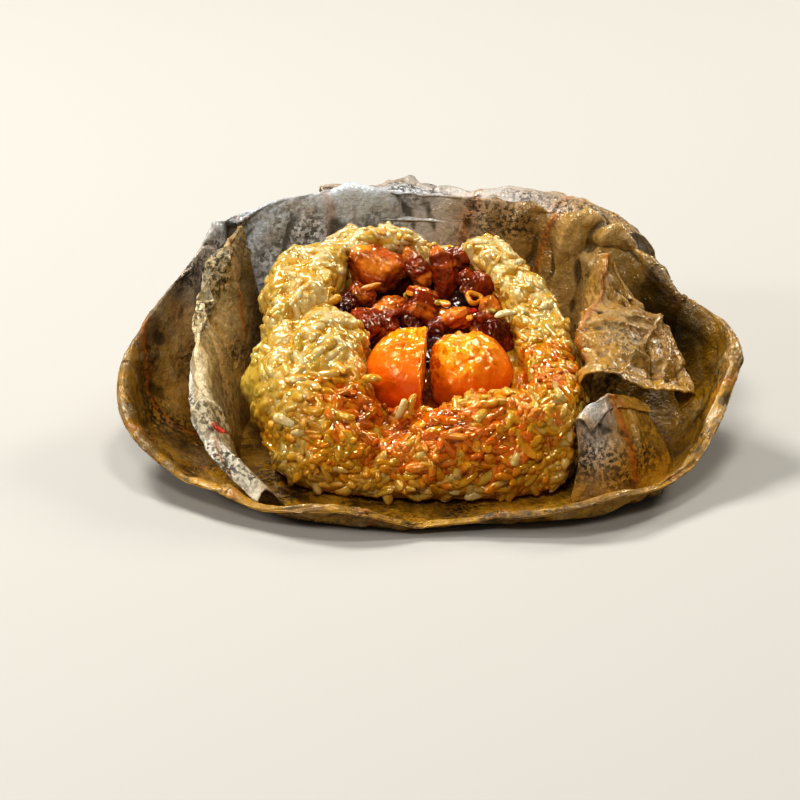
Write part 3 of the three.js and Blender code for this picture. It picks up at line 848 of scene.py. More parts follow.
@dataclass(frozen=True)
class RiceFinish:
    """Cooked sticky rice: cream to amber under a wet film; golden between the grains, partly
    painted glow of light through the rice; brown as painted shade in the deep gaps of soaked rice.
    """

    name: str
    cream: tuple = colour(182, 151, 62)
    white: tuple = colour(206, 193, 148)
    gold: tuple = colour(200, 146, 20)
    amber: tuple = colour(200, 98, 0)
    brown: tuple = colour(96, 36, 0)
    green: tuple = colour(192, 176, 84)
    gloss: tuple = (1.0, 0.9, 0.64, 1.0)
    specular: float = 0.8
    ior: float = 1.6
    glow: float = 0.7
    glow_radius: tuple = (1.0, 0.8, 0.4)
    glow_reach: float = 0.0006
    mottle: tuple = (210.0, 4.0, 0.6)
    threads: tuple = (640.0, 3.0, 0.6)
    tone_share: float = 0.5
    mottle_share: float = 0.55
    paleness: tuple = (0.3, 0.78)
    sunk: tuple = (0.1, 0.7)
    painted_glow_share: float = 0.92
    thread_gold: tuple = (0.53, 0.6, 0.0, 0.7)
    pale_keeps: tuple = (0.7, 1.15, 1.0, 0.4)
    soak_deep: float = 0.5
    soak_mottle: float = 1.2
    soaked_gold: tuple = (0.05, 0.5)
    soaked_amber: tuple = (0.35, 0.95)
    sauced: tuple = (0.35, 0.62)
    shaded: tuple = (0.3, 0.95)
    shade_brown: float = 0.85
    fleck_brown: tuple = (0.56, 0.66, 0.0, 0.6)
    roughness: tuple = (0.3, 0.05)
    tilt: tuple = (0.18, 0.45)
    cells: float = 880.0
    film_scale: float = 520.0
    film: float = 0.0001

    def build(self) -> bpy.types.Material:
        """Make the material.

        Returns:
            The material.
        """
        skin = Skin(self.specular, self.gloss, self.ior, self.glow, self.glow_radius,
                    self.glow_reach)
        dressing = new_material(self.name, skin)
        nodes = dressing.nodes
        place = nodes.object_place()
        mottle = nodes.noise(place, *self.mottle)
        threads = nodes.noise(place, *self.threads)
        wet = nodes.group("patches", Vector=place, Scale=95.0, Cover=0.5, Soft=0.1)
        dressing.surface(self.tint(nodes, mottle, threads),
                         nodes.step(wet, 0.0, 1.0, *self.roughness))
        tilt = nodes.step(wet, 0.0, 1.0, *self.tilt)
        facets = nodes.group("facets", Vector=place, Scale=self.cells, Tilt=tilt)
        film = nodes.group("wet_film", Vector=place, Scale=self.film_scale)
        dressing.raised((film, self.film), under=facets)
        return dressing.material

    def tint(self, nodes: Nodes, mottle: Socket, threads: Socket) -> Socket:
        """Colour of the rice: pale grains; gold between them, which is painted glow where the core
        lies deep and the rice's own colour along fine threads; amber and brown where it is soaked;
        brown as painted shade in the deep gaps of soaked rice.

        Args:
            nodes: The material's node calls.
            mottle: Soft noise.
            threads: Fine noise.

        Returns:
            The colour.
        """
        deep, amber, tone = (nodes.value_of(name) for name in ("deep", "amber", "tone"))
        paleness = nodes.math("ADD", nodes.math("MULTIPLY", tone, self.tone_share),
                              nodes.math("MULTIPLY", mottle, self.mottle_share))
        # Painted glow: gold where the core lies deep between grains, as if light shone through the
        # rice there.
        low = nodes.math("MAXIMUM",
                         nodes.math("MULTIPLY", nodes.step(deep, *self.sunk), self.painted_glow_share),
                         nodes.step(threads, *self.thread_gold))
        low = nodes.math("MULTIPLY", low, nodes.step(tone, *self.pale_keeps))
        uneven = nodes.math("SUBTRACT", mottle, 0.5)
        # Soaked rice turns more amber down in the gaps and brown in the deepest: painted shade.
        soaked = nodes.math("ADD", amber, nodes.math("MULTIPLY", deep, amber, self.soak_deep),
                            nodes.math("MULTIPLY", uneven, self.soak_mottle))
        sauce = nodes.math("MULTIPLY", nodes.value_of("sauce"), nodes.step(mottle, *self.sauced))
        shade = nodes.math("MULTIPLY", amber, nodes.step(deep, *self.shaded), self.shade_brown)
        fleck = nodes.math("MULTIPLY", amber, nodes.step(threads, *self.fleck_brown))
        return nodes.layers(
            nodes.blend(nodes.step(paleness, *self.paleness), self.cream, self.white),
            (low, self.gold),
            (nodes.step(soaked, *self.soaked_gold), self.gold),
            (nodes.step(soaked, *self.soaked_amber), self.amber),
            (nodes.value_of("green"), self.green),
            (nodes.math("MAXIMUM", sauce, shade, fleck), self.brown))


@dataclass(frozen=True)
class MeatFinish:
    """Braised meat under a thick brown glaze."""

    name: str
    lean: tuple = colour(140, 48, 4)
    fat: tuple = colour(212, 118, 26)
    dark: tuple = colour(40, 7, 1)
    skin: Skin = Skin(0.7, (1.0, 0.86, 0.64, 1.0), 1.5, 0.25, (1.0, 0.3, 0.08))
    roughness: float = 0.08
    mottle: tuple = (260.0, 5.0, 0.65)
    shreds: tuple = (640.0, 4.0, 0.6)
    fat_shows: tuple = (0.3, 0.6)
    crust: float = 0.75
    shred_depth: float = 0.00012
    film_depth: float = 0.00015

    def build(self) -> bpy.types.Material:
        """Make the material.

        Returns:
            The material.
        """
        dressing = new_material(self.name, self.skin)
        nodes = dressing.nodes
        place = nodes.object_place()
        shows = nodes.step(nodes.noise(place, *self.mottle), *self.fat_shows)
        fat = nodes.math("MULTIPLY", nodes.value_of("fat"), shows)
        crust = nodes.group("patches", Vector=place, Scale=240.0, Cover=0.46, Soft=0.14)
        tint = nodes.layers(nodes.blend(fat, self.lean, self.fat),
                            (nodes.math("MULTIPLY", crust, self.crust), self.dark))
        dressing.surface(tint, self.roughness)
        shreds = nodes.noise(place, *self.shreds)
        film = nodes.group("wet_film", Vector=place, Scale=330.0)
        facets = nodes.group("facets", Vector=place, Scale=620.0, Tilt=0.3)
        dressing.raised((shreds, self.shred_depth), (film, self.film_depth), under=facets)
        return dressing.material


@dataclass(frozen=True)
class YolkFinish:
    """Salted egg yolk: deep orange and oily outside, golden and crumbly where it broke."""

    name: str = "salted_yolk"
    skin_tint: tuple = colour(232, 112, 0)
    deep: tuple = colour(212, 80, 0)
    crumb: tuple = colour(248, 166, 0)
    skin: Skin = Skin(0.8, (1.0, 0.8, 0.4, 1.0), 1.6, 0.5, (1.0, 0.4, 0.03))
    clouds: tuple = (110.0, 5.0, 0.6)
    grit: tuple = (760.0, 3.0, 0.65)
    clouded: tuple = (0.35, 0.68)
    flaked: tuple = (0.45, 1.0)
    broken: tuple = (0.1, 0.6)
    roughness: tuple = (0.24, 0.1)
    tilt: tuple = (0.08, 1.0)
    grit_shows: tuple = (0.0, 0.8, 0.5, 1.0)
    grit_depth: float = 0.0002
    film_depth: float = 0.0002

    def build(self) -> bpy.types.Material:
        """Make the material.

        Returns:
            The material.
        """
        dressing = new_material(self.name, self.skin)
        nodes = dressing.nodes
        place = nodes.object_place()
        crumb = nodes.value_of("crumb")
        clouds = nodes.step(nodes.noise(place, *self.clouds), *self.clouded)
        flakes = nodes.group("patches", Vector=place, Scale=330.0, Cover=0.52, Soft=0.08)
        share = nodes.step(flakes, 0.0, 1.0, *self.flaked)
        tint = nodes.layers(nodes.blend(clouds, self.deep, self.skin_tint),
                            (nodes.math("MULTIPLY", crumb, share), self.crumb))
        dressing.surface(tint, nodes.step(crumb, *self.broken, *self.roughness))
        grit = nodes.math("MULTIPLY", nodes.noise(place, *self.grit),
                          nodes.step(crumb, *self.grit_shows))
        film = nodes.group("wet_film", Vector=place, Scale=260.0)
        tilt = nodes.step(crumb, *self.broken, *self.tilt)
        facets = nodes.group("facets", Vector=place, Scale=800.0, Tilt=tilt)
        dressing.raised((grit, self.grit_depth), (film, self.film_depth), under=facets)
        return dressing.material


@dataclass(frozen=True)
class SauceFinish:
    """Thick brown braising sauce."""

    name: str = "braising_sauce"
    brown: tuple = colour(22, 5, 1)
    light: tuple = colour(84, 28, 3)
    roughness: float = 0.1
    film_depth: float = 0.0008

    def build(self) -> bpy.types.Material:
        """Make the material.

        Returns:
            The material.
        """
        dressing = new_material(self.name, Skin())
        nodes = dressing.nodes
        place = nodes.object_place()
        thin = nodes.group("patches", Vector=place, Scale=120.0, Cover=0.45, Soft=0.2)
        dressing.surface(nodes.blend(thin, self.brown, self.light), self.roughness)
        film = nodes.group("wet_film", Vector=place, Scale=190.0)
        dressing.raised((film, self.film_depth))
        return dressing.material


@dataclass(frozen=True)
class BitFinish:
    """A small soft bit of vegetable in the sauce."""

    name: str
    tint: tuple
    shade: tuple
    skin: Skin = Skin(glow=0.4)
    mottle: tuple = (500.0, 3.0)
    mottled: tuple = (0.35, 0.65)
    roughness: float = 0.14
    film_depth: float = 0.0003

    def build(self) -> bpy.types.Material:
        """Make the material.

        Returns:
            The material.
        """
        dressing = new_material(self.name, self.skin)
        nodes = dressing.nodes
        place = nodes.object_place()
        part = nodes.step(nodes.noise(place, *self.mottle), *self.mottled)
        dressing.surface(nodes.blend(part, self.shade, self.tint), self.roughness)
        film = nodes.group("wet_film", Vector=place, Scale=500.0)
        dressing.raised((film, self.film_depth))
        return dressing.material


@dataclass(frozen=True)
class FloorFinish:
    """Pale matt table."""

    name: str = "pale_table"
    tint: tuple = colour(170, 168, 163)
    worn: tuple = (0.6, 0.6, 0.6, 1.0)
    wear: float = 0.04
    cloud: tuple = (3.0, 2.0)
    roughness: float = 0.75

    def build(self) -> bpy.types.Material:
        """Make the material.

        Returns:
            The material.
        """
        dressing = new_material(self.name, Skin())
        nodes = dressing.nodes
        faint = nodes.noise(nodes.object_place(), *self.cloud)
        part = nodes.math("MULTIPLY", faint, self.wear)
        dressing.surface(nodes.blend(part, self.tint, self.worn), self.roughness)
        return dressing.material


# ===== Pieces =====

class Slot(Enum):
    """The record's material slots."""

    LEAF = "leaf"
    RICE = "rice"
    YOLK = "yolk"
    MEAT = "meat"


def make_object(name: str, shape: Shape, material: bpy.types.Material) -> bpy.types.Object:
    """Turn a shape into a smooth mesh object at the origin.

    Args:
        name: The piece's name.
        shape: Its points, faces and values.
        material: Its finish.

    Returns:
        The new object.
    """
    mesh = bpy.data.meshes.new(name)
    places = to_part(shape.points).astype(np.float32)
    mesh.vertices.add(len(places))
    mesh.vertices.foreach_set("co", places.ravel())
    corners = np.concatenate([faces.ravel() for faces in shape.faces]).astype(np.int32)
    sizes = np.concatenate([np.full(len(faces), faces.shape[1]) for faces in shape.faces])
    sizes = sizes.astype(np.int32)
    mesh.loops.add(len(corners))
    mesh.loops.foreach_set("vertex_index", corners)
    mesh.polygons.add(len(sizes))
    starts = np.concatenate([[0], np.cumsum(sizes)[:-1]]).astype(np.int32)
    mesh.polygons.foreach_set("loop_start", starts)
    mesh.polygons.foreach_set("loop_total", sizes)
    mesh.polygons.foreach_set("use_smooth", np.full(len(sizes), True))
    mesh.update(calc_edges=True)
    for label, values in shape.values.items():
        layer = mesh.attributes.new(label, "FLOAT", "POINT")
        layer.data.foreach_set("value", values.astype(np.float32))
    if shape.uv is not None:
        layer = mesh.uv_layers.new(name=SHEET_UV)
        layer.data.foreach_set("uv", shape.uv[corners].astype(np.float32).ravel())
    mesh.validate()
    mesh.materials.append(material)
    piece = bpy.data.objects.new(name, mesh)
    bpy.context.scene.collection.objects.link(piece)
    return piece


def place_piece(name: str, shape: Shape, material: bpy.types.Material, slot: Slot,
                *nodes: str) -> bpy.types.Object:
    """Make a piece, let it ride on the body and hide the CAD nodes that it replaces.

    Args:
        name: The piece's name.
        shape: Its points, faces and values.
        material: Its finish.
        slot: The record's slot for its finish; not used.
        nodes: CAD nodes that it replaces.

    Returns:
        The piece.
    """
    piece = make_object(name, shape, material)
    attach(piece, BODY)
    if nodes:
        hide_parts(*nodes)
    triangles = sum(len(faces) * (faces.shape[1] - 2) for faces in shape.faces)
    log.info("%s: %d triangles", name, triangles)
    return piece


# ===== Leaf =====

@dataclass(frozen=True)
class Pleat:
    """A sharp ridge that runs from a sheet's foot to its edge."""

    at: float
    drift: float
    tall: float
    width: float

    def height(self, along: Array, across: Array) -> Array:
        """Height that falls off with e to minus the distance from the ridge's line."""
        return self.tall * np.exp(-np.abs(along - self.at - self.drift * across) / self.width)


@dataclass(frozen=True)
class Rib:
    """A leaf rib: a line of (along, across) places, its width in mm and how it stands out."""

    line: tuple
    width: float = 1.1
    tall: float = 0.45
    tint: float = 0.85


@dataclass(frozen=True)
class Tone:
    """A soft patch of a sheet that is paler, more golden, darker or greyer than the rest. Darker is
    painted shade, greyer is painted sky reflection, and paler and more golden are partly painted
    light.
    """

    at: tuple
    reach: tuple
    pale: float = 0.0
    gold: float = 0.0
    # Dark: painted shade, where the sheet lies in shadow.
    dark: float = 0.0
    # Bluish grey: painted reflection of the sky on the wet leaf.
    reflected_sky: float = 0.0


SHEET_THICKNESS = 0.45
TONE_KEYS = ("pale", "gold", "dark", "reflected_sky")


@dataclass
class LeafSheet:
    """One sheet of the leaf, thin and creased.

    Its middle surface is lofted through rails. Pleats, random creases and
    crumples move it along its normal; they fade towards the foot.
    """

    name: str
    rails: Array
    pleats: tuple
    size: tuple
    ribs: tuple
    tones: tuple
    creases: int
    seed: int
    wide: float
    tall: float
    closed: bool = False
    thickness: float = SHEET_THICKNESS
    crumple: float = 1.0
    fade: tuple = (0.25, 0.55)
    folds: tuple = ((19.0, 1.1), (8.5, 0.36), (3.6, 0.12))
    swell: tuple = (0.8, 18.0)
    pleat_drift: tuple = (2.6, 17.0)
    crease_lean: float = 0.7
    crease_reach: tuple = (6.0, 24.0)
    crease_width: tuple = (0.6, 1.8)
    crease_tall: tuple = (0.3, 1.0)
    crease_bow: float = 0.012
    pleats_show: float = 0.35
    blur: int = 5
    full_relief: float = 0.5

    def grid(self) -> tuple[Array, Array]:
        """Places along and across the sheet.

        Returns:
            Two grids of numbers from 0 to 1.
        """
        columns, rows = self.size
        along = np.arange(columns) / (columns if self.closed else columns - 1)
        across = np.linspace(0.0, 1.0, rows)
        return np.meshgrid(along, across)

    def pleat_relief(self, along: Array, across: Array) -> Array:
        """Sum of the pleats, bent by noise and grown from the foot to the edge.

        Args:
            along: Places along the sheet.
            across: Places across it.

        Returns:
            Heights in mm.
        """
        height = np.zeros_like(along)
        place = np.stack([along * self.wide, across * self.tall, 0.0 * along], axis=-1)
        drift, cell = self.pleat_drift
        along = along + drift / self.wide * fractal(place, cell, self.seed + 5)
        for pleat in self.pleats:
            height += pleat.height(along, across)
            if self.closed:
                height += pleat.height(along - 1.0, across) + pleat.height(along + 1.0, across)
        return height * smooth(across, *self.fade)

    def crease_relief(self, along: Array, across: Array) -> Array:
        """Random short creases: each a sharp ridge along a bowed line, soft at its ends.

        Args:
            along: Places along the sheet.
            across: Places across it.

        Returns:
            Heights in mm.
        """
        draw = np.random.default_rng(self.seed)
        height = np.zeros_like(along)
        across_mm = across * self.tall
        for _ in range(self.creases):
            middle = draw.random(2) * (self.wide, self.tall)
            angle = draw.normal(math.pi / 2, self.crease_lean)
            reach = draw.uniform(*self.crease_reach)
            width = draw.uniform(*self.crease_width)
            tall = draw.uniform(*self.crease_tall) * draw.choice([-1.0, 1.0])
            dx = along * self.wide - middle[0]
            if self.closed:
                dx = (dx + self.wide / 2) % self.wide - self.wide / 2
            dy = across_mm - middle[1]
            lengthwise = dx * math.cos(angle) + dy * math.sin(angle)
            sideways = dy * math.cos(angle) - dx * math.sin(angle)
            bow = sideways + self.crease_bow * lengthwise ** 2
            height += tall * np.exp(-np.abs(bow) / width) * np.exp(-(lengthwise / reach) ** 2)
        return height

    def rib_masks(self, along: Array, across: Array) -> tuple[Array, Array]:
        """Height and colour of the ribs, each a bell over the distance to its line.

        Args:
            along: Places along the sheet.
            across: Places across it.

        Returns:
            Heights in mm, and how much of the ribs' colour shows.
        """
        height = np.zeros_like(along)
        tint = np.zeros_like(along)
        place = np.stack([along * self.wide, across * self.tall], axis=-1)
        for rib in self.ribs:
            nearest = line_distance(place, np.array(rib.line) * (self.wide, self.tall))
            height += rib.tall * np.exp(-(nearest / (0.6 * rib.width)) ** 2)
            tint = np.maximum(tint, rib.tint * np.exp(-(nearest / (0.75 * rib.width)) ** 2))
        return height, tint

    def tone_values(self, along: Array, across: Array) -> dict[str, Array]:
        """Pale, golden, dark and sky-reflection amounts, dark being painted shade: each patch falls
        off as a bell both ways.

        Args:
            along: Places along the sheet.
            across: Places across it.

        Returns:
            The strongest patch's amount at each place, by name.
        """
        values = {key: np.zeros_like(along) for key in TONE_KEYS}
        for tone in self.tones:
            du = along - tone.at[0]
            if self.closed:
                du = (du + 0.5) % 1.0 - 0.5
            away = np.stack([du, across - tone.at[1]], axis=-1)
            share = bell(away, (0.0, 0.0), tone.reach)
            for key in TONE_KEYS:
                values[key] = np.maximum(values[key], getattr(tone, key) * share)
        return values

    def relief(self, middle: Array, along: Array, across: Array) -> tuple[Array, Array]:
        """Heights over the middle surface.

        Args:
            middle: The middle surface.
            along: Places along the sheet.
            across: Places across it.

        Returns:
            Heights of the pleats, and of all creases, crumples and soft swells.
        """
        grown = smooth(across, *self.fade)
        height = self.crease_relief(along, across)
        tall, cell = self.swell
        height += tall * fractal(middle, cell, self.seed, 2)
        for period, tall in self.folds:
            height += tall * crumpled(middle, period, self.seed + int(period * 7))
        return self.pleat_relief(along, across), height * grown * self.crumple

    def shape(self) -> Shape:
        """The sheet as a closed thin body.

        The middle surface is moved half the thickness each way along its
        normal, and a narrow wall joins the two faces round the rim.

        Returns:
            The shape; `raised` says how far it stands out from what is round it.
        """
        along, across = self.grid()
        middle = loft(self.rails, along[0], across[:, 0], self.closed)
        normal = grid_normals(middle, self.closed)
        rib_height, rib_tint = self.rib_masks(along, across)
        pleated, relief = self.relief(middle, along, across)
        shown = relief + self.pleats_show * pleated
        raised = shown - blurred(shown, self.blur, self.closed)
        relief = relief + pleated
        middle = middle + normal * (relief + rib_height)[..., None]
        normal = grid_normals(middle, self.closed)
        upper = middle + normal * (self.thickness / 2)
        lower = middle - normal * (self.thickness / 2)
        upper[..., 2] = np.maximum(upper[..., 2], self.thickness)
        lower[..., 2] = np.maximum(lower[..., 2], 0.0)
        rows, columns = along.shape
        count = rows * columns
        face = grid_quads(rows, columns, self.closed)
        faces = [face, face[:, ::-1] + count, self.rim(rows, columns)]
        values = self.tone_values(along, across)
        values["rib"] = rib_tint
        values["raised"] = np.clip(raised / self.full_relief, -1.0, 1.0)
        doubled = {key: np.concatenate([v.ravel(), v.ravel()]) for key, v in values.items()}
        doubled["raised"][count:] *= -1.0
        uv = np.stack([along * self.wide, across * self.tall], axis=-1).reshape(-1, 2) / 100.0
        points = np.concatenate([upper.reshape(-1, 3), lower.reshape(-1, 3)])
        shape = Shape(points, faces, doubled, np.concatenate([uv, uv]))
        if self.closed:
            shape = self.with_floor(shape, columns, count)
        return shape

    def rim(self, rows: int, columns: int) -> Array:
        """Wall between the two faces along the open edges.

        Args:
            rows: Rows of points in a face.
            columns: Points in a row.

        Returns:
            Point numbers, shape (faces, 4).
        """
        count = rows * columns
        top = np.arange(columns) + (rows - 1) * columns
        if self.closed:
            edge = np.stack([np.roll(top, -1), top], axis=-1)
        else:
            right = np.arange(rows) * columns + columns - 1
            left = np.arange(rows)[::-1] * columns
            bottom = np.arange(columns)
            loop = np.concatenate([bottom, right[1:], top[::-1][1:], left[1:]])
            edge = np.stack([loop[:-1], loop[1:]], axis=-1)
            edge = edge[:, ::-1]
        return np.stack([edge[:, 0], edge[:, 1], edge[:, 1] + count, edge[:, 0] + count],
                        axis=-1)

    def with_floor(self, shape: Shape, columns: int, count: int) -> Shape:
        """Close the middle of a ring-shaped sheet with two flat fans.

        Args:
            shape: The sheet.
            columns: Points in a ring.
            count: Points in a face.

        Returns:
            The closed shape.
        """
        centre = np.array([[0.0, 0.0, self.thickness], [0.0, 0.0, 0.0]])
        caps = fans(0, count, columns, len(shape.points))
        values = {key: np.concatenate([v, [0.0, 0.0]]) for key, v in shape.values.items()}
        uv = np.concatenate([shape.uv, np.zeros((2, 2))])
        return Shape(np.concatenate([shape.points, centre]), shape.faces + caps, values, uv)


@dataclass
class Leaf:
    """The whole leaf: a dished sheet and four flaps.

    The dish's edge is given by its places, and for each by how far out its foot
    lies and how high its wall's bend, as parts of the edge's own. Each flap is
    given by its rails, from the foot to the edge.
    """

    base_radius: float = 26.0
    lip_out: float = 2.2
    lip_drop: float = 0.2
    wall_bend: float = 0.66
    edge: tuple = (
        (-73.0, -5, 20.6, 0.72, 0.3), (-58.0, 20, 36.5, 0.8, 0.36),
        (-46.7, 36, 43.2, 0.82, 0.42), (-15.4, 44.5, 46.0, 0.86, 0.46),
        (21.3, 42, 42.8, 0.86, 0.46), (45.0, 30, 40.3, 0.76, 0.42),
        (60.5, 13, 31.4, 0.74, 0.34), (72.8, -5, 25.4, 0.74, 0.3),
        (62.0, -36, 10.0, 0.76, 0.3), (38.0, -57, 7.5, 0.82, 0.3),
        (8.0, -58, 3.5, 0.88, 0.3), (-22.0, -60, 7.5, 0.84, 0.3),
        (-45.0, -50, 4.5, 0.82, 0.3), (-68.0, -30, 11.0, 0.72, 0.3),
    )
    left_flap: tuple = (
        ((-34, -45, 0.4), (-42, -38, 0.4), (-46, -20, 0.4), (-46, 2, 0.4), (-42, 20, 0.4),
         (-39, 29, 0.4)),
        ((-36, -48, 4), (-45, -40, 9.5), (-50, -21, 12), (-50, 2, 16), (-46.5, 18, 23),
         (-43, 28.5, 27)),
        ((-39, -50, 7), (-50.5, -38, 17), (-54.5, -21, 24), (-55.5, 2, 32.5), (-51.5, 16, 40),
         (-46.5, 29, 43)),
        ((-40.5, -52, 4.5), (-53, -40, 13.5), (-57.5, -21, 20), (-58, 2, 28.5), (-54, 15, 36),
         (-49, 27, 40)),
    )
    right_flap: tuple = (
        ((38, 24, 0.4), (41, 6, 0.4), (41, -12, 0.4), (39, -27, 0.4)),
        ((38.5, 22, 27), (38.6, 6, 21), (38.6, -9, 17), (38, -25, 13)),
        ((43, 17, 39.9), (40.4, 4, 34.6), (38.4, -8, 29.6), (37, -24, 24.6)),
        ((45, 16, 39.6), (47.6, 3, 33.8), (48.2, -10, 29), (46.5, -27, 25.4)),
        ((46, 15.5, 39.2), (52, 4, 33), (56, -8, 28), (56.5, -25, 22.8)),
        ((46, 15, 37.4), (53.5, 6, 31), (60.5, -4, 25.4), (64.5, -20, 19.5)),
        ((45.5, 14, 33), (51, 6, 26), (58, -4, 20), (61, -18, 14)),
    )
    small_fold: tuple = (
        ((33, -42, 0.4), (46, -38, 0.4), (59, -28, 0.4)),
        ((35, -39, 9), (45, -35, 11), (56, -27, 10)),
        ((35.5, -36, 18), (41.5, -29.5, 22.5), (50.5, -25.5, 19)),
        ((38, -37.5, 16.5), (44, -31, 20.5), (53, -27, 17)),
    )
    back_flap: tuple = (
        ((-26, 43.8, 40), (2, 44.6, 39.5), (24, 41.4, 37), (40.4, 33, 35.5)),
        ((-27, 51, 44.8), (3, 54, 44), (31, 52, 42.4), (50, 42, 37)),
        ((-28, 65, 40), (4, 71, 39), (37, 68, 36), (57, 52, 29.5)),
        ((-28, 72, 27), (5, 78, 25), (41, 75, 21), (59, 58, 16)),
    )

    def dish_rails(self) -> Array:
        """Rings of the dished sheet: flat base, foot, bend of the wall, edge and turned lip.

        Returns:
            The rings, shape (5, points, 3).
        """
        edge = np.array(self.edge, dtype=float)
        flat, rise = edge[:, :2], edge[:, 2:3]
        foot, hollow = edge[:, 3:4], edge[:, 4:5]
        reach = np.linalg.norm(flat, axis=1, keepdims=True)
        level = np.full((len(edge), 1), SHEET_THICKNESS / 2)
        bend = mix(foot, 1.0, self.wall_bend)
        return np.stack([
            np.hstack([flat * self.base_radius / reach, level]),
            np.hstack([flat * foot, level]),
            np.hstack([flat * bend, rise * hollow]),
            np.hstack([flat, rise]),
            np.hstack([flat * (1 + self.lip_out / reach), rise - self.lip_drop]),
        ])

    def dish(self) -> LeafSheet:
        """The dished sheet under and round the food.

        Returns:
            The sheet.
        """
        pleats = tuple(Pleat(*numbers) for numbers in (
            (0.04, 0.03, -1.8, 0.014), (0.1, 0.02, 1.8, 0.012), (0.135, 0.01, -2.6, 0.012),
            (0.19, 0.02, 0.9, 0.012), (0.235, -0.01, -0.8, 0.014), (0.27, 0.03, 1.6, 0.006),
            (0.285, 0.03, -1.6, 0.006), (0.3, 0.04, 3.4, 0.008), (0.32, 0.03, -2.2, 0.006),
            (0.34, 0.02, 2.8, 0.009), (0.36, 0.02, -1.6, 0.006), (0.385, 0.02, 2.0, 0.008),
            (0.43, 0.0, -2.0, 0.016), (0.52, 0.02, 1.6, 0.02),
            (0.6, -0.02, -1.5, 0.02), (0.68, 0.02, 1.6, 0.022), (0.76, -0.02, -1.6, 0.022),
            (0.85, 0.02, 1.7, 0.02), (0.93, -0.01, 1.8, 0.016),
            (0.255, 0.02, 1.5, 0.006), (0.315, 0.03, 1.8, 0.006), (0.07, 0.0, 1.0, 0.006),
        ))
        wall_ribs = tuple(Rib(((low, 0.3), (bend, 0.6), (high, 0.98)), 1.4, 0.4, 0.6)
                          for low, bend, high in (
                              (0.6, 0.6, 0.59), (0.68, 0.685, 0.7), (0.77, 0.765, 0.77),
                              (0.86, 0.865, 0.855), (0.93, 0.935, 0.945)))
        ribs = (
            Rib(((0.002, 0.3), (0.008, 0.55), (0.022, 0.8), (0.036, 0.97)), 1.5, 0.5, 0.8),
            Rib(((0.25, 0.35), (0.262, 0.7), (0.272, 0.98)), 1.3, 0.4, 0.6),
            Rib(((0.29, 0.4), (0.31, 0.7), (0.325, 0.98)), 1.4, 0.4, 0.8),
            Rib(((0.13, 0.4), (0.135, 0.7), (0.15, 0.98)), 1.1, 0.35, 0.4),
            Rib(((0.19, 0.4), (0.195, 0.7), (0.19, 0.98)), 1.1, 0.35, 0.35),
            Rib(((0.42, 0.3), (0.43, 0.65), (0.44, 0.98)), 1.3, 0.4, 0.5),
            Rib(((0.52, 0.3), (0.53, 0.65), (0.525, 0.98)), 1.3, 0.4, 0.5),
            *wall_ribs,
        )
        # Grey patches on the back wall are painted sky reflection. Dark patches are painted shade
        # where the wall lies in shadow, black at the fold by the left flap's top. The gold and pale
        # patch at along 0.35 is painted light on a face that lies in shade.
        tones = (
            Tone((0.155, 0.8), (0.075, 0.6), reflected_sky=1.0),
            Tone((0.205, 0.85), (0.055, 0.5), reflected_sky=1.0),
            Tone((0.3, 0.8), (0.05, 0.5), gold=0.7, dark=0.3),
            Tone((0.37, 0.97), (0.05, 0.1), gold=0.9),
            Tone((0.44, 0.97), (0.07, 0.11), gold=1.0, pale=0.5),
            Tone((0.43, 0.6), (0.07, 0.3), dark=0.95),
            Tone((0.35, 0.6), (0.04, 0.3), gold=1.0, pale=0.4),
            Tone((0.98, 0.6), (0.1, 0.5), dark=0.3),
            Tone((0.13, 0.8), (0.012, 0.2), dark=1.0),
        )
        return LeafSheet("leaf_dish", self.dish_rails(), pleats, (414, 116), ribs, tones,
                         creases=150, seed=3, wide=390.0, tall=78.0, closed=True)

    def left(self) -> LeafSheet:
        """The flap turned up on the left.

        Returns:
            The sheet.
        """
        pleats = tuple(Pleat(*numbers) for numbers in (
            (0.16, 0.06, -1.6, 0.05), (0.34, -0.05, 1.5, 0.05), (0.52, 0.08, -1.4, 0.04),
            (0.66, 0.0, -2.4, 0.035), (0.84, -0.06, 1.6, 0.045)))
        ribs = (
            Rib(((0.97, 0.9), (0.86, 0.62), (0.78, 0.3)), 1.0, 0.35, 0.8),
            Rib(((0.1, 0.95), (0.22, 0.72), (0.3, 0.4), (0.28, 0.1)), 0.9, 0.35, 0.8),
        )
        # The pale patches, with grey, are partly the leaf's paler tone and partly painted highlight
        # and painted sky reflection, strongest along the rolled edge. The dark patch is painted
        # shade near the back.
        tones = (
            Tone((0.45, 0.66), (0.7, 0.42), pale=0.78),
            Tone((0.45, 0.98), (0.7, 0.1), pale=1.0, reflected_sky=0.5),
            Tone((0.95, 0.35), (0.14, 0.4), dark=0.85),
            Tone((0.1, 0.85), (0.2, 0.3), pale=1.0, reflected_sky=0.4),
        )
        return LeafSheet("leaf_left_flap", np.array(self.left_flap, float), pleats, (230, 130),
                         ribs, tones, creases=46, seed=12, wide=92.0, tall=52.0,
                         fade=(0.1, 0.5), crumple=1.15)

    def right(self) -> LeafSheet:
        """The broad flap folded forward on the right, over its rib.

        Returns:
            The sheet.
        """
        pleats = tuple(Pleat(*numbers) for numbers in (
            (0.25, 0.1, -1.2, 0.06), (0.55, -0.12, 1.3, 0.06), (0.8, 0.1, -1.4, 0.05)))
        ribs = (
            Rib(((0.98, 0.3), (0.6, 0.33), (0.3, 0.36), (0.02, 0.4)), 2.6, 0.7, 0.7),
            Rib(((0.55, 0.42), (0.62, 0.55), (0.6, 0.75)), 0.8, 0.3, 0.6),
        )
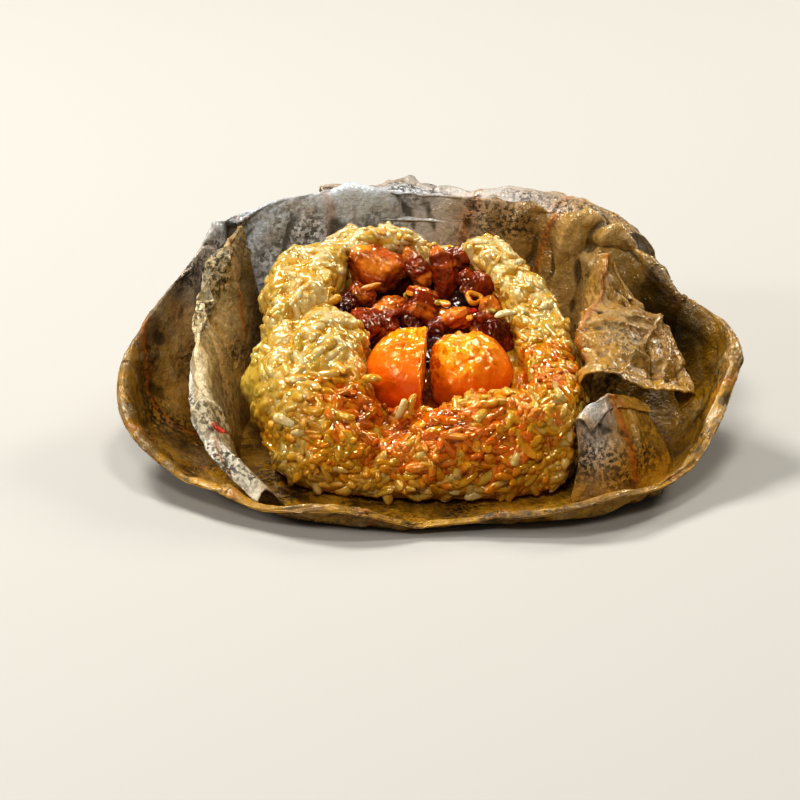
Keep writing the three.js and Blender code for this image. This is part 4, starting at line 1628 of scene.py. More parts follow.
        # The dark patches are painted shade, over the flap's face and under its curled edge. The
        # gold and pale patch near the foot is painted light on the face that lies in shade by the
        # rice.
        tones = (
            Tone((0.5, 0.66), (0.7, 0.4), gold=0.7, dark=0.42),
            Tone((0.35, 0.2), (0.5, 0.2), gold=1.0, pale=0.3),
            Tone((0.6, 0.48), (0.2, 0.1), pale=0.3),
            Tone((0.55, 0.98), (0.7, 0.07), dark=0.6),
        )
        return LeafSheet("leaf_right_flap", np.array(self.right_flap, float), pleats, (125, 225),
                         ribs, tones, creases=80, seed=21, wide=50.0, tall=92.0,
                         fade=(0.08, 0.35), crumple=1.25)

    def fold(self) -> LeafSheet:
        """The small fold below the right flap.

        Returns:
            The sheet.
        """
        ribs = (Rib(((0.62, 0.1), (0.6, 0.6), (0.66, 0.95)), 1.6, 0.5, 0.95),)
        # The grey patch is painted sky reflection.
        tones = (Tone((0.25, 0.7), (0.25, 0.4), reflected_sky=0.7), Tone((0.65, 0.6), (0.2, 0.5), gold=0.6))
        return LeafSheet("leaf_small_fold", np.array(self.small_fold, float),
                         (Pleat(0.45, 0.1, 1.4, 0.08),), (90, 70), ribs, tones,
                         creases=16, seed=33, wide=30.0, tall=26.0, fade=(0.1, 0.5))

    def back(self) -> LeafSheet:
        """The flap that falls away behind.

        Returns:
            The sheet.
        """
        pleats = tuple(Pleat(*numbers) for numbers in (
            (0.2, 0.08, 1.6, 0.05), (0.45, -0.06, -1.8, 0.06), (0.75, 0.05, 1.8, 0.06)))
        ribs = (
            Rib(((0.15, 0.05), (0.12, 0.5), (0.1, 0.95)), 1.3, 0.4, 0.5),
            Rib(((0.42, 0.05), (0.44, 0.5), (0.43, 0.95)), 1.3, 0.4, 0.5),
            Rib(((0.7, 0.05), (0.73, 0.5), (0.76, 0.95)), 1.3, 0.4, 0.5),
        )
        # The grey patch is painted sky reflection.
        tones = (Tone((0.3, 0.2), (0.4, 0.4), reflected_sky=0.9), Tone((0.85, 0.2), (0.25, 0.4), gold=0.5))
        return LeafSheet("leaf_back_flap", np.array(self.back_flap, float), pleats, (180, 90),
                         ribs, tones, creases=34, seed=44, wide=92.0, tall=46.0,
                         fade=(0.1, 0.4))

    def build(self, finish: bpy.types.Material) -> None:
        """Place every sheet.

        Args:
            finish: The leaf's finish.
        """
        for sheet in (self.dish(), self.left(), self.right(), self.fold(), self.back()):
            place_piece(sheet.name, sheet.shape(), finish, Slot.LEAF, "leaf")


# ===== Rice =====

@dataclass(frozen=True)
class Lump:
    """A place where the mound swells or sinks."""

    at: tuple
    reach: float
    push: float


@dataclass(frozen=True)
class Stain:
    """A place where rice is soaked with sauce, or greener or paler than the rest; one sauce stain
    also paints shade.
    """

    at: tuple
    reach: tuple
    amount: float


def stained(points: Array, specks_and_shade: tuple, start: float) -> Array:
    """Strongest stain at each point; each falls off as a bell in three directions.

    Args:
        points: Places, shape (..., 3).
        specks_and_shade: The stains.
        start: The least amount.

    Returns:
        Amounts, shape (...).
    """
    amount = np.full(points.shape[:-1], start)
    for stain in specks_and_shade:
        amount = np.maximum(amount, stain.amount * bell(points, stain.at, stain.reach))
    return amount


def even_rows(skin: Array) -> tuple[Array, Array]:
    """Measure how far apart the rows of a grid lie.

    Args:
        skin: Grid of places.

    Returns:
        Each mean step from row to row, and the length up to each row.
    """
    climb = np.linalg.norm(np.diff(skin, axis=0), axis=-1).mean(axis=1)
    return climb, np.concatenate([[0.0], np.cumsum(climb)])


@dataclass
class Mound:
    """The mound of rice: a soft core, open in the middle.

    Its outline is given by places, and for each by the height of the top and
    the thickness of the wall. A split is a line, its depth and its width.
    """

    outline: tuple = (
        (35.5, -14, 27.5, 14.5), (35.5, -29, 24, 14), (29, -40, 24, 15), (12, -45, 23, 16),
        (-11, -44, 19.5, 16), (-31, -38, 24.5, 24), (-39, -26, 30, 27), (-40, -10, 33.5, 26),
        (-40, 4, 38.5, 22), (-38.5, 20, 42, 20), (-27, 30, 41.5, 15), (-11, 32, 44.5, 10),
        (2.5, 30, 39.5, 8), (17, 26, 43.5, 12), (28, 14, 39.5, 14), (34, 1, 34.5, 15),
    )
    centre: tuple = (0.0, -4.0)
    base: float = 1.2
    wave: float = 0.9
    bed_inset: float = 9.0
    under_inset: float = 2.2
    fade_height: float = 6.0
    least_amber: float = 0.12
    bed_front: tuple = (-30.0, 15.0)
    bed_back: tuple = (24.0, 33.0)
    lumps: tuple = (
        Lump((-41, -14, 19), 8.5, 6), Lump((-40, 11, 33), 8, 1.2), Lump((-22, -12, 32), 8, 2.2),
        Lump((-14, -20, 24), 6, 2), Lump((-21, 1.5, 34), 5.5, -6), Lump((2.5, 29, 40), 4, -2.8),
        Lump((28, -26, 24), 7, 1.6), Lump((-9, -39, 20), 6, -5), Lump((4, -40, 22), 6, 1.4),
    )
    amber_stains: tuple = (
        Stain((4, -40, 17), (36, 13, 13), 1.0), Stain((28, -20, 22), (11, 14, 12), 0.95),
        Stain((22, 4, 30), (5, 14, 6), 0.45), Stain((-18, -30, 19), (15, 11, 9), 1.0),
        Stain((0, 4, 26), (24, 18, 7), 1.0), Stain((-38, -20, 12), (8, 20, 8), 0.5),
        Stain((0, -16, 17), (13, 14, 5), 1.0),
        Stain((-32, 8, 40), (7, 12, 5), 0.3),
    )
    # The strong stain under the yolk halves darkens the gap between them: sauce, with painted
    # shade.
    sauce_and_shade_stains: tuple = (
        Stain((-2, 8, 29), (19, 15, 6), 1.0), Stain((0, -16, 17), (11, 14, 5), 2.4),
        Stain((0, -31, 14), (24, 7, 6), 0.8), Stain((30, -30, 18), (9, 10, 8), 0.45),
        Stain((-20, -32, 18), (11, 9, 8), 0.75),
    )
    green_stains: tuple = (
        Stain((-43, -14, 19), (6, 10, 9), 0.85), Stain((-42, 12, 26), (4, 14, 10), 0.4),
    )
    # Whiter patches on the mound's back ridge and tops.
    paler_patches: tuple = (
        Stain((-6, 31, 42), (19, 8, 8), 0.9), Stain((20, 22, 42), (9, 9, 8), 0.5),
        Stain((-20, -12, 33), (9, 7, 5), 0.5), Stain((-28, 12, 42), (6, 14, 5), 0.35),
    )
    splits: tuple = (
        (((-14, -1, 33), (-25, -2, 37), (-37, -6, 34), (-44, -8, 27)), 2.4, 2.2),
        (((-9, -28, 22), (-13, -38, 17), (-15, -46, 8)), 2.2, 2.0),
        (((23, -24, 26), (26, -36, 21), (29, -44, 8)), 2.2, 2.0),
    )
    size: tuple = (540, 178)

    def bed_height(self, back: Array) -> Array:
        """Height of the bed in the open middle, which climbs evenly to the back.

        Args:
            back: How far back a place lies.

        Returns:
            Heights, of the same shape.
        """
        part = (back - self.bed_front[0]) / (self.bed_back[0] - self.bed_front[0])
        return mix(self.bed_front[1], self.bed_back[1], np.clip(part, 0.0, 1.0))

    def rails(self) -> Array:
        """Rings of the mound from the middle of its bed over its wall to its underside.

        Returns:
            The rings, shape (8, points, 3).
        """
        table = np.array(self.outline, dtype=float)
        flat, top, wall = table[:, :2], table[:, 2], table[:, 3]
        centre = np.array(self.centre)
        reach = np.linalg.norm(flat - centre, axis=1)

        def ring(inset: Array, height: Callable[[Array], Array]) -> Array:
            """Draw the outline in towards the centre by an inset, and set its height."""
            place = centre + (flat - centre) * ((reach - inset) / reach)[:, None]
            return np.hstack([place, height(place[:, 1])[:, None]])

        return np.stack([
            ring(wall + self.bed_inset, self.bed_height),
            ring(wall, self.bed_height),
            ring(wall * 0.9, lambda y: mix(self.bed_height(y), top, 0.75)),
            ring(wall * 0.72, lambda y: top),
            ring(wall * 0.34, lambda y: top - 0.6),
            ring(wall * 0.08, lambda y: top - 4.0),
            ring(wall * 0.0, lambda y: top * 0.4),
            ring(wall * 0.0 + self.under_inset, lambda y: y * 0.0 + self.base),
        ])

    def relief(self, points: Array) -> Array:
        """Gentle waves and lumps, faded in above the underside.

        Args:
            points: Places on the smooth mound.

        Returns:
            Heights in mm.
        """
        x, y, z = points[..., 0], points[..., 1], points[..., 2]
        waves = np.sin(x * 0.31 + y * 0.17) * np.sin(y * 0.27 - z * 0.22)
        waves += 0.6 * np.sin(x * 0.62 - z * 0.5 + 1.3) * np.sin(y * 0.55 + 0.7)
        height = self.wave * waves
        for lump in self.lumps:
            height += lump.push * bell(points, lump.at, lump.reach)
        return height * smooth(z, self.base, self.base + self.fade_height)

    def surface(self) -> tuple[Array, Array]:
        """The mound's skin on a fine grid of even steps.

        Returns:
            The skin and its outward normals.
        """
        columns, rows = self.size
        rails = self.rails()
        coarse = np.linspace(0.0, 1.0, 240)
        length = even_rows(loft(rails, np.arange(48) / 48.0, coarse, True))[1]
        across = np.interp(np.linspace(0.0, length[-1], rows), length, coarse)
        skin = loft(rails, np.arange(columns) / columns, across, True)
        height = self.relief(skin) + self.unevenness(skin)
        skin = skin + grid_normals(skin, True) * height[..., None]
        return skin, grid_normals(skin, True)

    def unevenness(self, skin: Array) -> Array:
        """Clots of rice and the splits between lumps, faded in above the underside.

        Clots are soft noise as broad as a few grains. A split is a groove along
        a line, as deep as its depth and falling off as a bell.

        Args:
            skin: Places on the smooth mound.

        Returns:
            Heights in mm.
        """
        clots = 0.7 * value_noise(skin, 9.0, 90) + 0.4 * value_noise(skin, 4.6, 89)
        for line, depth, width in self.splits:
            clots = clots - depth * np.exp(-(line_distance(skin, line) / width) ** 2)
        return clots * smooth(skin[..., 2], self.base, self.base + self.fade_height)

    def soaking(self, points: Array) -> dict[str, Array]:
        """How amber, sauced and green the rice is; the sauce amount also paints shade in the gap
        between the yolk halves.

        Args:
            points: Places on the mound.

        Returns:
            Amounts at each place, by name.
        """
        return {
            "amber": stained(points, self.amber_stains, self.least_amber),
            "sauce": np.minimum(stained(points, self.sauce_and_shade_stains, 0.0) * 0.9, 2.0),
            "green": stained(points, self.green_stains, 0.0),
        }

    def core_shape(self, skin: Array, normal: Array, height: Array, tone: Array,
                   deep: Array) -> Shape:
        """The core as a closed body.

        Args:
            skin: The mound's skin.
            normal: Its outward normals.
            height: How far the core rises from the skin round the grains.
            tone: How pale it is.
            deep: How far it lies down between grains, from 0 to 1.

        Returns:
            The shape, with a pole in the bed and one underneath.
        """
        grit = 0.12 * value_noise(skin, 1.5, 93) + 0.12 * crumpled(skin, 2.8, 94, 4)
        core = skin + normal * (height + grit)[..., None]
        core[..., 2] = np.maximum(core[..., 2], self.base)
        rows, columns = core.shape[:2]
        points = core.reshape(-1, 3)
        bed = [*self.centre, float(self.bed_height(np.array(self.centre[1]))) - 0.9]
        poles = np.array([bed, [*self.centre, self.base]])
        caps = fans(0, (rows - 1) * columns, columns, len(points))
        points = np.concatenate([points, poles])
        values = self.soaking(points)
        values["tone"] = np.concatenate([tone.ravel(), [0.5, 0.5]])
        values["deep"] = np.concatenate([deep.ravel(), [1.0, 1.0]])
        return Shape(points, [grid_quads(rows, columns, True), *caps], values)


@dataclass
class Grains:
    """Whole cooked grains, laid over the mound.

    A grain is a slim body of rings: its width falls to blunt ends, it bends a
    little and is flatter than it is wide.
    """

    length: float = 5.8
    width: float = 2.4
    flatness: float = 0.8
    rings: tuple = (-0.97, -0.84, -0.46, 0.0, 0.46, 0.84, 0.97)
    sides: int = 8
    blunt: tuple = (3.4, 0.5)
    bend: float = 0.35
    taper: float = 0.12
    ridged: float = 0.13
    swell: float = 0.1
    rough: float = 0.06

    def halves(self, sizes: Array) -> Array:
        """Half length, width and thickness of grains from their relative length and width."""
        half = np.array([self.length, self.width, self.width * self.flatness]) / 2.0
        return half * np.stack([sizes[:, 0], sizes[:, 1], sizes[:, 1]], axis=-1)

    def template(self) -> tuple[Array, Array, Array]:
        """One grain of unit half length and half width.

        Its width is one less a power of the place along it, to a second power.

        Returns:
            Its points, four-cornered faces and end caps.
        """
        along = np.array(self.rings)
        width = (1.0 - np.abs(along) ** self.blunt[0]) ** self.blunt[1]
        angle = turns(self.sides)
        ring = np.stack([
            np.repeat(along, self.sides),
            np.outer(width, np.cos(angle)).ravel(),
            np.outer(width, np.sin(angle)).ravel(),
        ], axis=-1)
        tips = np.array([[-1.0, 0.0, 0.0], [1.0, 0.0, 0.0]])
        points = np.concatenate([ring, tips])
        caps = fans(0, len(ring) - self.sides, self.sides, len(ring))
        return points, grid_quads(len(along), self.sides, True), np.concatenate(caps)

    def shape(self, places: Array, along: Array, outward: Array, sizes: Array,
              seed: int) -> Shape:
        """Copy the grain to many places, each a little different.

        Args:
            places: Middles of the grains, shape (n, 3).
            along: Directions of their length.
            outward: Directions across their flat side.
            sizes: Length and width of each, as parts of the usual ones, shape (n, 2).
            seed: Chooses their bends and bumps.

        Returns:
            One shape that holds all grains.
        """
        points, quads, caps = self.template()
        count = len(places)
        draw = np.random.default_rng(seed)
        side = unit(np.cross(outward, along))
        lift = unit(np.cross(along, side))
        local = np.broadcast_to(points, (count,) + points.shape).copy()
        bend = draw.normal(0.0, self.bend, (count, 2))
        taper = draw.normal(0.0, self.taper, (count, 1))
        thick = 1.0 + taper * points[:, 0]
        local[..., 1] *= thick
        local[..., 2] *= thick
        arch = points[:, 0] ** 2 - 0.35
        local[..., 1] += bend[:, :1] * arch
        local[..., 2] += bend[:, 1:] * arch * 0.7
        angle = np.arctan2(points[:, 2], points[:, 1])
        phase = draw.uniform(0.0, 2.0 * math.pi, (count, 1))
        ridged = 1.0 + self.ridged * np.cos(3.0 * angle + phase)
        swollen = draw.normal(0.0, self.swell, (count, len(self.rings)))
        swollen = np.repeat(swollen, self.sides, axis=1)
        swollen = np.concatenate([swollen, np.zeros((count, 2))], axis=1)
        uneven = ridged + swollen + self.rough * draw.normal(size=(count, len(points)))
        local[..., 1:] *= uneven[..., None]
        local *= self.halves(sizes)[:, None, :]
        axes = np.stack([along, side, lift], axis=1)
        placed = np.einsum("nvk,nkx->nvx", local, axes) + places[:, None, :]
        start = (np.arange(count) * len(points))[:, None, None]
        faces = [(quads + start).reshape(-1, 4), (caps + start).reshape(-1, 3)]
        return Shape(placed.reshape(-1, 3), faces)


class GrainKind(Enum):
    """Grains by where they lie and how they look."""

    CREAM = "rice_grains_cream"
    AMBER = "rice_grains_amber"
    FAR = "rice_grains_far"


@dataclass
class Rice:
    """The rice as it is seen: a core that rises round each grain, laid grains, loose grains.

    A stray grain is given by its place, its direction, its relative length and
    width, and how amber and how pale it is.
    """

    mound: Mound = field(default_factory=Mound)
    grains: Grains = field(default_factory=Grains)
    row_step: float = 1.8
    grain_step: float = 2.7
    hollows: tuple = ()
    bare: tuple = (2.0, 3.0)
    swirl: tuple = (2.2, 8.0)
    spread: float = 0.8
    whitest: float = 1.2
    window: tuple = (9, 18)
    weld: float = 8.0
    core_level: float = -1.0
    merged: float = 0.8
    merged_level: float = -0.76
    tilt: float = 0.24
    sunk: tuple = (-1.12, -0.42)
    stood: float = 1.0
    lengths: tuple = (0.8, 1.14)
    widths: tuple = (0.84, 1.16)
    stood_length: float = 0.16
    core_deep: tuple = (-0.9, 0.3)
    grain_deep: tuple = (-0.6, 0.55)
    plain_green: float = 0.45
    shown: float = 0.6
    amber_from: float = 0.4
    loose_stains: tuple = (
        Stain((0, -42, 12), (52, 16, 14), 1.0), Stain((-22, -28, 22), (13, 12, 9), 0.95),
        Stain((33, -22, 15), (12, 20, 13), 0.8), Stain((10, -34, 20), (20, 8, 8), 1.0),
    )
    strays: tuple = (
        (-6.9, -35.5, 21.6, 0.5, 0.2, 1.0, 1.0, 1.0, 0.3, 0.9),
        (-4.4, -34.6, 22.8, 0.25, 0.1, 1.0, 0.9, 0.9, 0.35, 0.7),
        (-34.6, -38.6, 20.3, -0.8, 0.3, 0.3, 0.95, 1.15, 0.0, 1.0),
        (18.4, -2.0, 32.8, 1.0, 0.2, 0.15, 0.95, 0.8, 0.05, 1.0),
        (-14.0, -27.0, 26.2, 1.0, -0.3, 0.1, 0.9, 1.0, 0.5, 0.4),
        (-14.5, 9.6, 35.4, 1.0, 0.1, 0.3, 1.0, 0.8, 0.7, 0.2),
    )

    def scatter(self, skin: Array, normal: Array) -> dict[str, Array]:
        """Places for grains, evenly over the skin.

        Rows of equal step run round the mound, and places of equal step lie
        along each row; each is then moved by up to half a step.

        Args:
            skin: The mound's skin.
            normal: Its outward normals.

        Returns:
            Each grain's place on the skin, its row and column there, the way
            outward and the way round the mound.
        """
        rows, columns = skin.shape[:2]
        draw = np.random.default_rng(7)
        climb, height = even_rows(skin)
        levels = np.arange(self.bare[0], height[-1] - self.bare[1], self.row_step)
        row_at = np.interp(levels, height, np.arange(rows))
        step = np.linalg.norm(skin - np.roll(skin, 1, axis=1), axis=-1).sum(axis=1)
        counts = (np.interp(row_at, np.arange(rows), step) / self.grain_step).astype(int)
        number = np.concatenate([np.arange(count) / count for count in counts])
        line = np.repeat(row_at, counts)
        spread = np.repeat(1.0 / counts, counts)
        number = number + spread * draw.uniform(-0.5, 0.5, len(number))
        line = line + draw.uniform(-0.5, 0.5, len(line)) * self.row_step / climb.mean()
        i = (number * columns).astype(int) % columns
        j = np.clip(line, 1, rows - 2).astype(int)
        return {"skin": skin[j, i], "outward": normal[j, i], "row": j, "column": i,
                "round": unit(skin[j, (i + 1) % columns] - skin[j, i])}

    def laid(self, skin: Array, normal: Array) -> dict[str, Array]:
        """Lie, size, sinking and paleness of each grain that is kept.

        Args:
            skin: The mound's skin.
            normal: Its outward normals.

        Returns:
            The grains' values by name.
        """
        found = self.scatter(skin, normal)
        draw = np.random.default_rng(17)
        place, outward, around = found["skin"], found["outward"], found["round"]
        count = len(place)
        swirl, cell = self.swirl
        turn = swirl * value_noise(place, cell, 31) + draw.normal(0.0, self.spread, count)
        up = np.cross(outward, around)
        along = around * np.cos(turn)[:, None] + up * np.sin(turn)[:, None]
        stand = self.looseness(place)
        tilt = draw.normal(0.0, self.tilt, count) * (0.5 + stand)
        along = unit(along + outward * tilt[:, None])
        depth = draw.uniform(*self.sunk, count) + self.stood * stand
        middle = place + outward * depth[:, None]
        length = draw.uniform(*self.lengths, count) * (1.0 + self.stood_length * stand)
        sizes = np.stack([length, draw.uniform(*self.widths, count)], axis=-1)
        tone = draw.random(count) * 0.9 - 0.12 + 0.3 * value_noise(place, 10.0, 33)
        tone = tone + stained(place, self.mound.paler_patches, 0.0)
        tone = np.clip(tone, 0.0, self.whitest)
        found.update(place=middle, along=along, stand=stand, sizes=sizes, tone=tone,
                     chance=draw.random(count))
        plain = self.mound.soaking(middle)["green"] > self.plain_green
        keep = (middle[:, 2] > self.mound.base + 1.2) & ~self.inside(middle) & ~plain
        return {key: value[keep] for key, value in found.items()}

    def looseness(self, places: Array) -> Array:
        """How far the grains stand apart, from 0 where they run together to 1."""
        loose = stained(places, self.loose_stains, 0.06) + 0.2 * value_noise(places, 7.0, 32)
        return np.clip(loose, 0.0, 1.0)

    def inside(self, places: Array) -> Array:
        """Whether places lie in one of the hollows that meat and yolk fill.

        Args:
            places: Middles of grains.

        Returns:
            True for each that does.
        """
        hit = np.zeros(len(places), dtype=bool)
        for at, half in self.hollows:
            offset = (places - np.array(at)) / (np.array(half) + 0.4)
            hit |= np.sum(offset ** 2, axis=-1) < 1.0
        return hit

    def welded(self, skin: Array, laid: dict[str, Array]) -> tuple[Array, Array]:
        """How the core rises round the grains, so that they run together as cooked starch does.

        A grain gives each skin point near it a height: its half thickness times
        one less the point's distance in the grain's own measure. The core takes
        the soft greatest of all these heights and its own level.

        Args:
            skin: The mound's skin.
            laid: The grains.

        Returns:
            Height over the skin and paleness, one value for each skin point.
        """
        rows, columns = skin.shape[:2]
        reach_row, reach_column = self.window
        down, beside = np.meshgrid(np.arange(-reach_row, reach_row + 1),
                                   np.arange(-reach_column, reach_column + 1), indexing="ij")
        row = laid["row"][:, None] + down.ravel()
        column = (laid["column"][:, None] + beside.ravel()) % columns
        on_skin = (row >= 0) & (row < rows)
        row = np.clip(row, 0, rows - 1)
        side = unit(np.cross(laid["outward"], laid["along"]))
        lift = unit(np.cross(laid["along"], side))
        axes = np.stack([laid["along"], side, lift], axis=1)
        local = skin[row, column] - laid["place"][:, None, :]
        local = np.abs(np.einsum("nwx,nkx->nwk", local, axes))
        half = self.grains.halves(laid["sizes"])
        local = local / half[:, None, :]
        away = np.sqrt(local[..., 0] ** 2.6 + local[..., 1] ** 2 + local[..., 2] ** 2)
        dome = half[:, None, 2] * np.where(away > 1.0, 2.4 * (1.0 - away), 1.0 - away)
        share = np.exp(self.weld * dome) * on_skin
        index = (row * columns + column).ravel()
        count = rows * columns
        own = math.exp(self.weld * self.core_level)
        total = np.bincount(index, weights=share.ravel(), minlength=count) + own
        paleness = np.bincount(index, weights=(share * laid["tone"][:, None]).ravel(),
                               minlength=count) + 0.2 * own
        height = np.log(total) / self.weld
        return height.reshape(rows, columns), (paleness / total).reshape(rows, columns)

    def stray_shape(self) -> Shape:
        """The few pale grains that stand clear of the rest.

        Returns:
            One shape that holds them all.
        """
        table = np.array(self.strays, dtype=float)
        along = unit(table[:, 3:6])
        outward = unit(np.cross(along, (0.3, 1.0, 0.2)))
        shape = self.grains.shape(table[:, :3], along, outward, table[:, 6:8], 49)
        each = len(shape.points) // len(table)
        share = {"amber": table[:, 8], "tone": table[:, 9]}
        shape.values = {key: np.repeat(value, each) for key, value in share.items()}
        for key in ("sauce", "green", "deep"):
            shape.values[key] = np.zeros(len(shape.points))
        return shape

    def kinds(self, laid: dict[str, Array]) -> Array:
        """Sort grains: the far side first, then by how soaked they are.

        Args:
            laid: The grains.

        Returns:
            Each one's number in the list of kinds.
        """
        place, outward = laid["place"], laid["outward"]
        amber = self.mound.soaking(place)["amber"]
        far = (outward[:, 1] > 0.2) & (place[:, 1] > -10.0)
        return np.where(far, 2, np.where(amber > self.amber_from, 1, 0))

    def kind_shape(self, chosen: dict[str, Array], number: int) -> Shape:
        """All grains of one kind, with what each carries.

        Args:
            chosen: The grains.
            number: The kind's number, which chooses its random values.

        Returns:
            One shape that holds them all.
        """
        shape = self.grains.shape(chosen["place"], chosen["along"], chosen["outward"],
                                  chosen["sizes"], 50 + number)
        count = len(chosen["place"])
        each = len(shape.points) // max(1, count)
        draw = np.random.default_rng(60 + number)
        soaking = self.mound.soaking(chosen["place"])
        jitter = draw.normal(0.0, 0.3, count) * soaking["amber"]
        soaking["amber"] = np.clip(soaking["amber"] + jitter, 0.0, 1.0)
        soaking["sauce"] = soaking["sauce"] * draw.uniform(0.4, 1.1, count)
        soaking["tone"] = chosen["tone"]
        shape.values = {key: np.repeat(value, each) for key, value in soaking.items()}
        above = shape.points - np.repeat(chosen["skin"], each, axis=0)
        above = np.sum(above * np.repeat(chosen["outward"], each, axis=0), axis=-1)
        # Low parts of each grain count as deep, where the finish paints glow and shade.
        shape.values["deep"] = 1.0 - smooth(above, *self.grain_deep)
        return shape

    def build(self, core_finish: bpy.types.Material,
              finishes: dict[GrainKind, bpy.types.Material]) -> None:
        """Place the core and the three kinds of grains.

        Args:
            core_finish: Finish of the core.
            finishes: Finish of each kind of grains.
        """
        skin, normal = self.mound.surface()
        laid = self.laid(skin, normal)
        height, tone = self.welded(skin, laid)
        deep = 1.0 - smooth(height, *self.core_deep)
        loose = self.looseness(skin)
        height = mix(self.merged * (height - self.core_level) + self.merged_level, height, loose)
        shape = self.mound.core_shape(skin, normal, height, tone, deep)
        place_piece("rice_core", shape, core_finish, Slot.RICE, "rice")
        place_piece("rice_grains_stray", self.stray_shape(), finishes[GrainKind.CREAM], Slot.RICE,
                    "rice")
        shown = laid["chance"] < mix(self.shown, 1.0, laid["stand"])
        kinds = np.where(shown, self.kinds(laid), -1)
        for number, kind in enumerate(GrainKind):
            chosen = {key: value[kinds == number] for key, value in laid.items()}
            place_piece(kind.value, self.kind_shape(chosen, number), finishes[kind], Slot.RICE,
                        "rice")


# ===== Yolk and meat =====

def ball_directions(columns: int, rows: int) -> Array:
    """Directions over a ball: rings from the lowest to the highest, then the two poles.

    Args:
        columns: Points round each ring.
        rows: Steps from pole to pole.

    Returns:
        Unit directions, shape (n, 3).
    """
    fall = math.pi * np.arange(1, rows) / rows
    turn = turns(columns)
    rings = np.stack([
        np.outer(np.sin(fall), np.cos(turn)),
        np.outer(np.sin(fall), np.sin(turn)),
        np.outer(-np.cos(fall), np.ones(columns)),
    ], axis=-1)
    return np.concatenate([rings.reshape(-1, 3), [[0.0, 0.0, -1.0], [0.0, 0.0, 1.0]]])


def ball_shape(points: Array, columns: int, rows: int) -> Shape:
    """A closed body from points that lie in the order of `ball_directions`.

    Args:
        points: Shape (n, 3).
        columns: Points round each ring.
        rows: Steps from pole to pole.

    Returns:
        The shape.
    """
    caps = fans(0, (rows - 2) * columns, columns, len(points) - 2)
    return Shape(points, [grid_quads(rows - 1, columns, True), *caps])


def turned(local: Array, turn: tuple, at: tuple) -> Array:
    """Turn places of a body's own frame and move them to where it lies.

    Args:
        local: Places in its own frame.
        turn: Turns in degrees about Z, Y and X, the last applied first.
        at: Its middle.

    Returns:
        The moved places.
    """
    about_z, about_y, about_x = (math.radians(angle) for angle in turn)
    matrix = np.array(Euler((about_x, about_y, about_z)).to_matrix())
    return local @ matrix.T + np.array(at)


@dataclass(frozen=True)
class YolkHalf:
    """Half an egg yolk, cut nearly upright; the cut opens towards the front."""

    node: str
    at: tuple
    half: tuple
    cut: float
    side: int
    lean: float
    open_front: float
    crumb_at: tuple
    crumb_reach: tuple
    edge: float = 0.8
    size: tuple = (240, 160)

    def place(self, direction: Array) -> Array:
        """An uneven ellipsoid whose points past the cut are pressed onto its face.

        Args:
            direction: Directions over a ball.

        Returns:
            The places of its points.
        """
        at, half = np.array(self.at), np.array(self.half)
        dent = 1.0 + 0.03 * np.sin(5 * direction[:, 0] + 2) * np.sin(4 * direction[:, 2] + 1)
        dent += 0.02 * fractal(direction, 0.5, 71, 2)
        point = at + direction * half * dent[:, None]
        grit = 0.85 * crumpled(point, 3.4, 72, 5) + 0.5 * fractal(point, 1.5, 74, 2)
        cut_rim = smooth(self.side * (point[:, 0] - self.cut), -1.0, 1.5)
        grit = grit * self.crumb(point) * (1.0 - 0.8 * cut_rim)
        point = point + unit(direction / half) * (grit - 0.1)[:, None]
        front = smooth(at[1] - point[:, 1], -half[1] * 0.3, half[1]) * self.open_front
        face = self.cut - self.side * (self.lean * (at[2] + half[2] - point[:, 2]) + front)
        face = face + 0.6 * fractal(point, 2.8, 73)
        spare = self.side * (face - point[:, 0]) / self.edge
        point[:, 0] = face - self.side * self.edge * np.logaddexp(0.0, spare)
        return point

    def crumb(self, points: Array) -> Array:
        """How broken the yolk is: all of the cut face, its edge, and soft patches on top.

        Args:
            points: Places on the yolk.

        Returns:
            Amounts from 0 to 1.
        """
        near_cut = smooth(self.side * (points[:, 0] - self.cut), -2.4, -0.2)
        patch = bell(points, self.crumb_at, self.crumb_reach)
        patch = patch * (1.05 + 0.6 * value_noise(points, 3.0, 75))
        return np.clip(np.maximum(near_cut * 0.8, patch), 0.0, 1.0)

    def build(self, finish: bpy.types.Material) -> None:
        """Place the half.

        Args:
            finish: The yolk's finish.
        """
        shape = ball_shape(self.place(ball_directions(*self.size)), *self.size)
        shape.values = {"crumb": self.crumb(shape.points)}
        place_piece(self.node + "_half", shape, finish, Slot.YOLK, self.node)


class MeatKind(Enum):
    """How a chunk is coloured."""

    BROWN = "meat_brown"
    RED = "meat_red"
    DARK = "meat_dark"


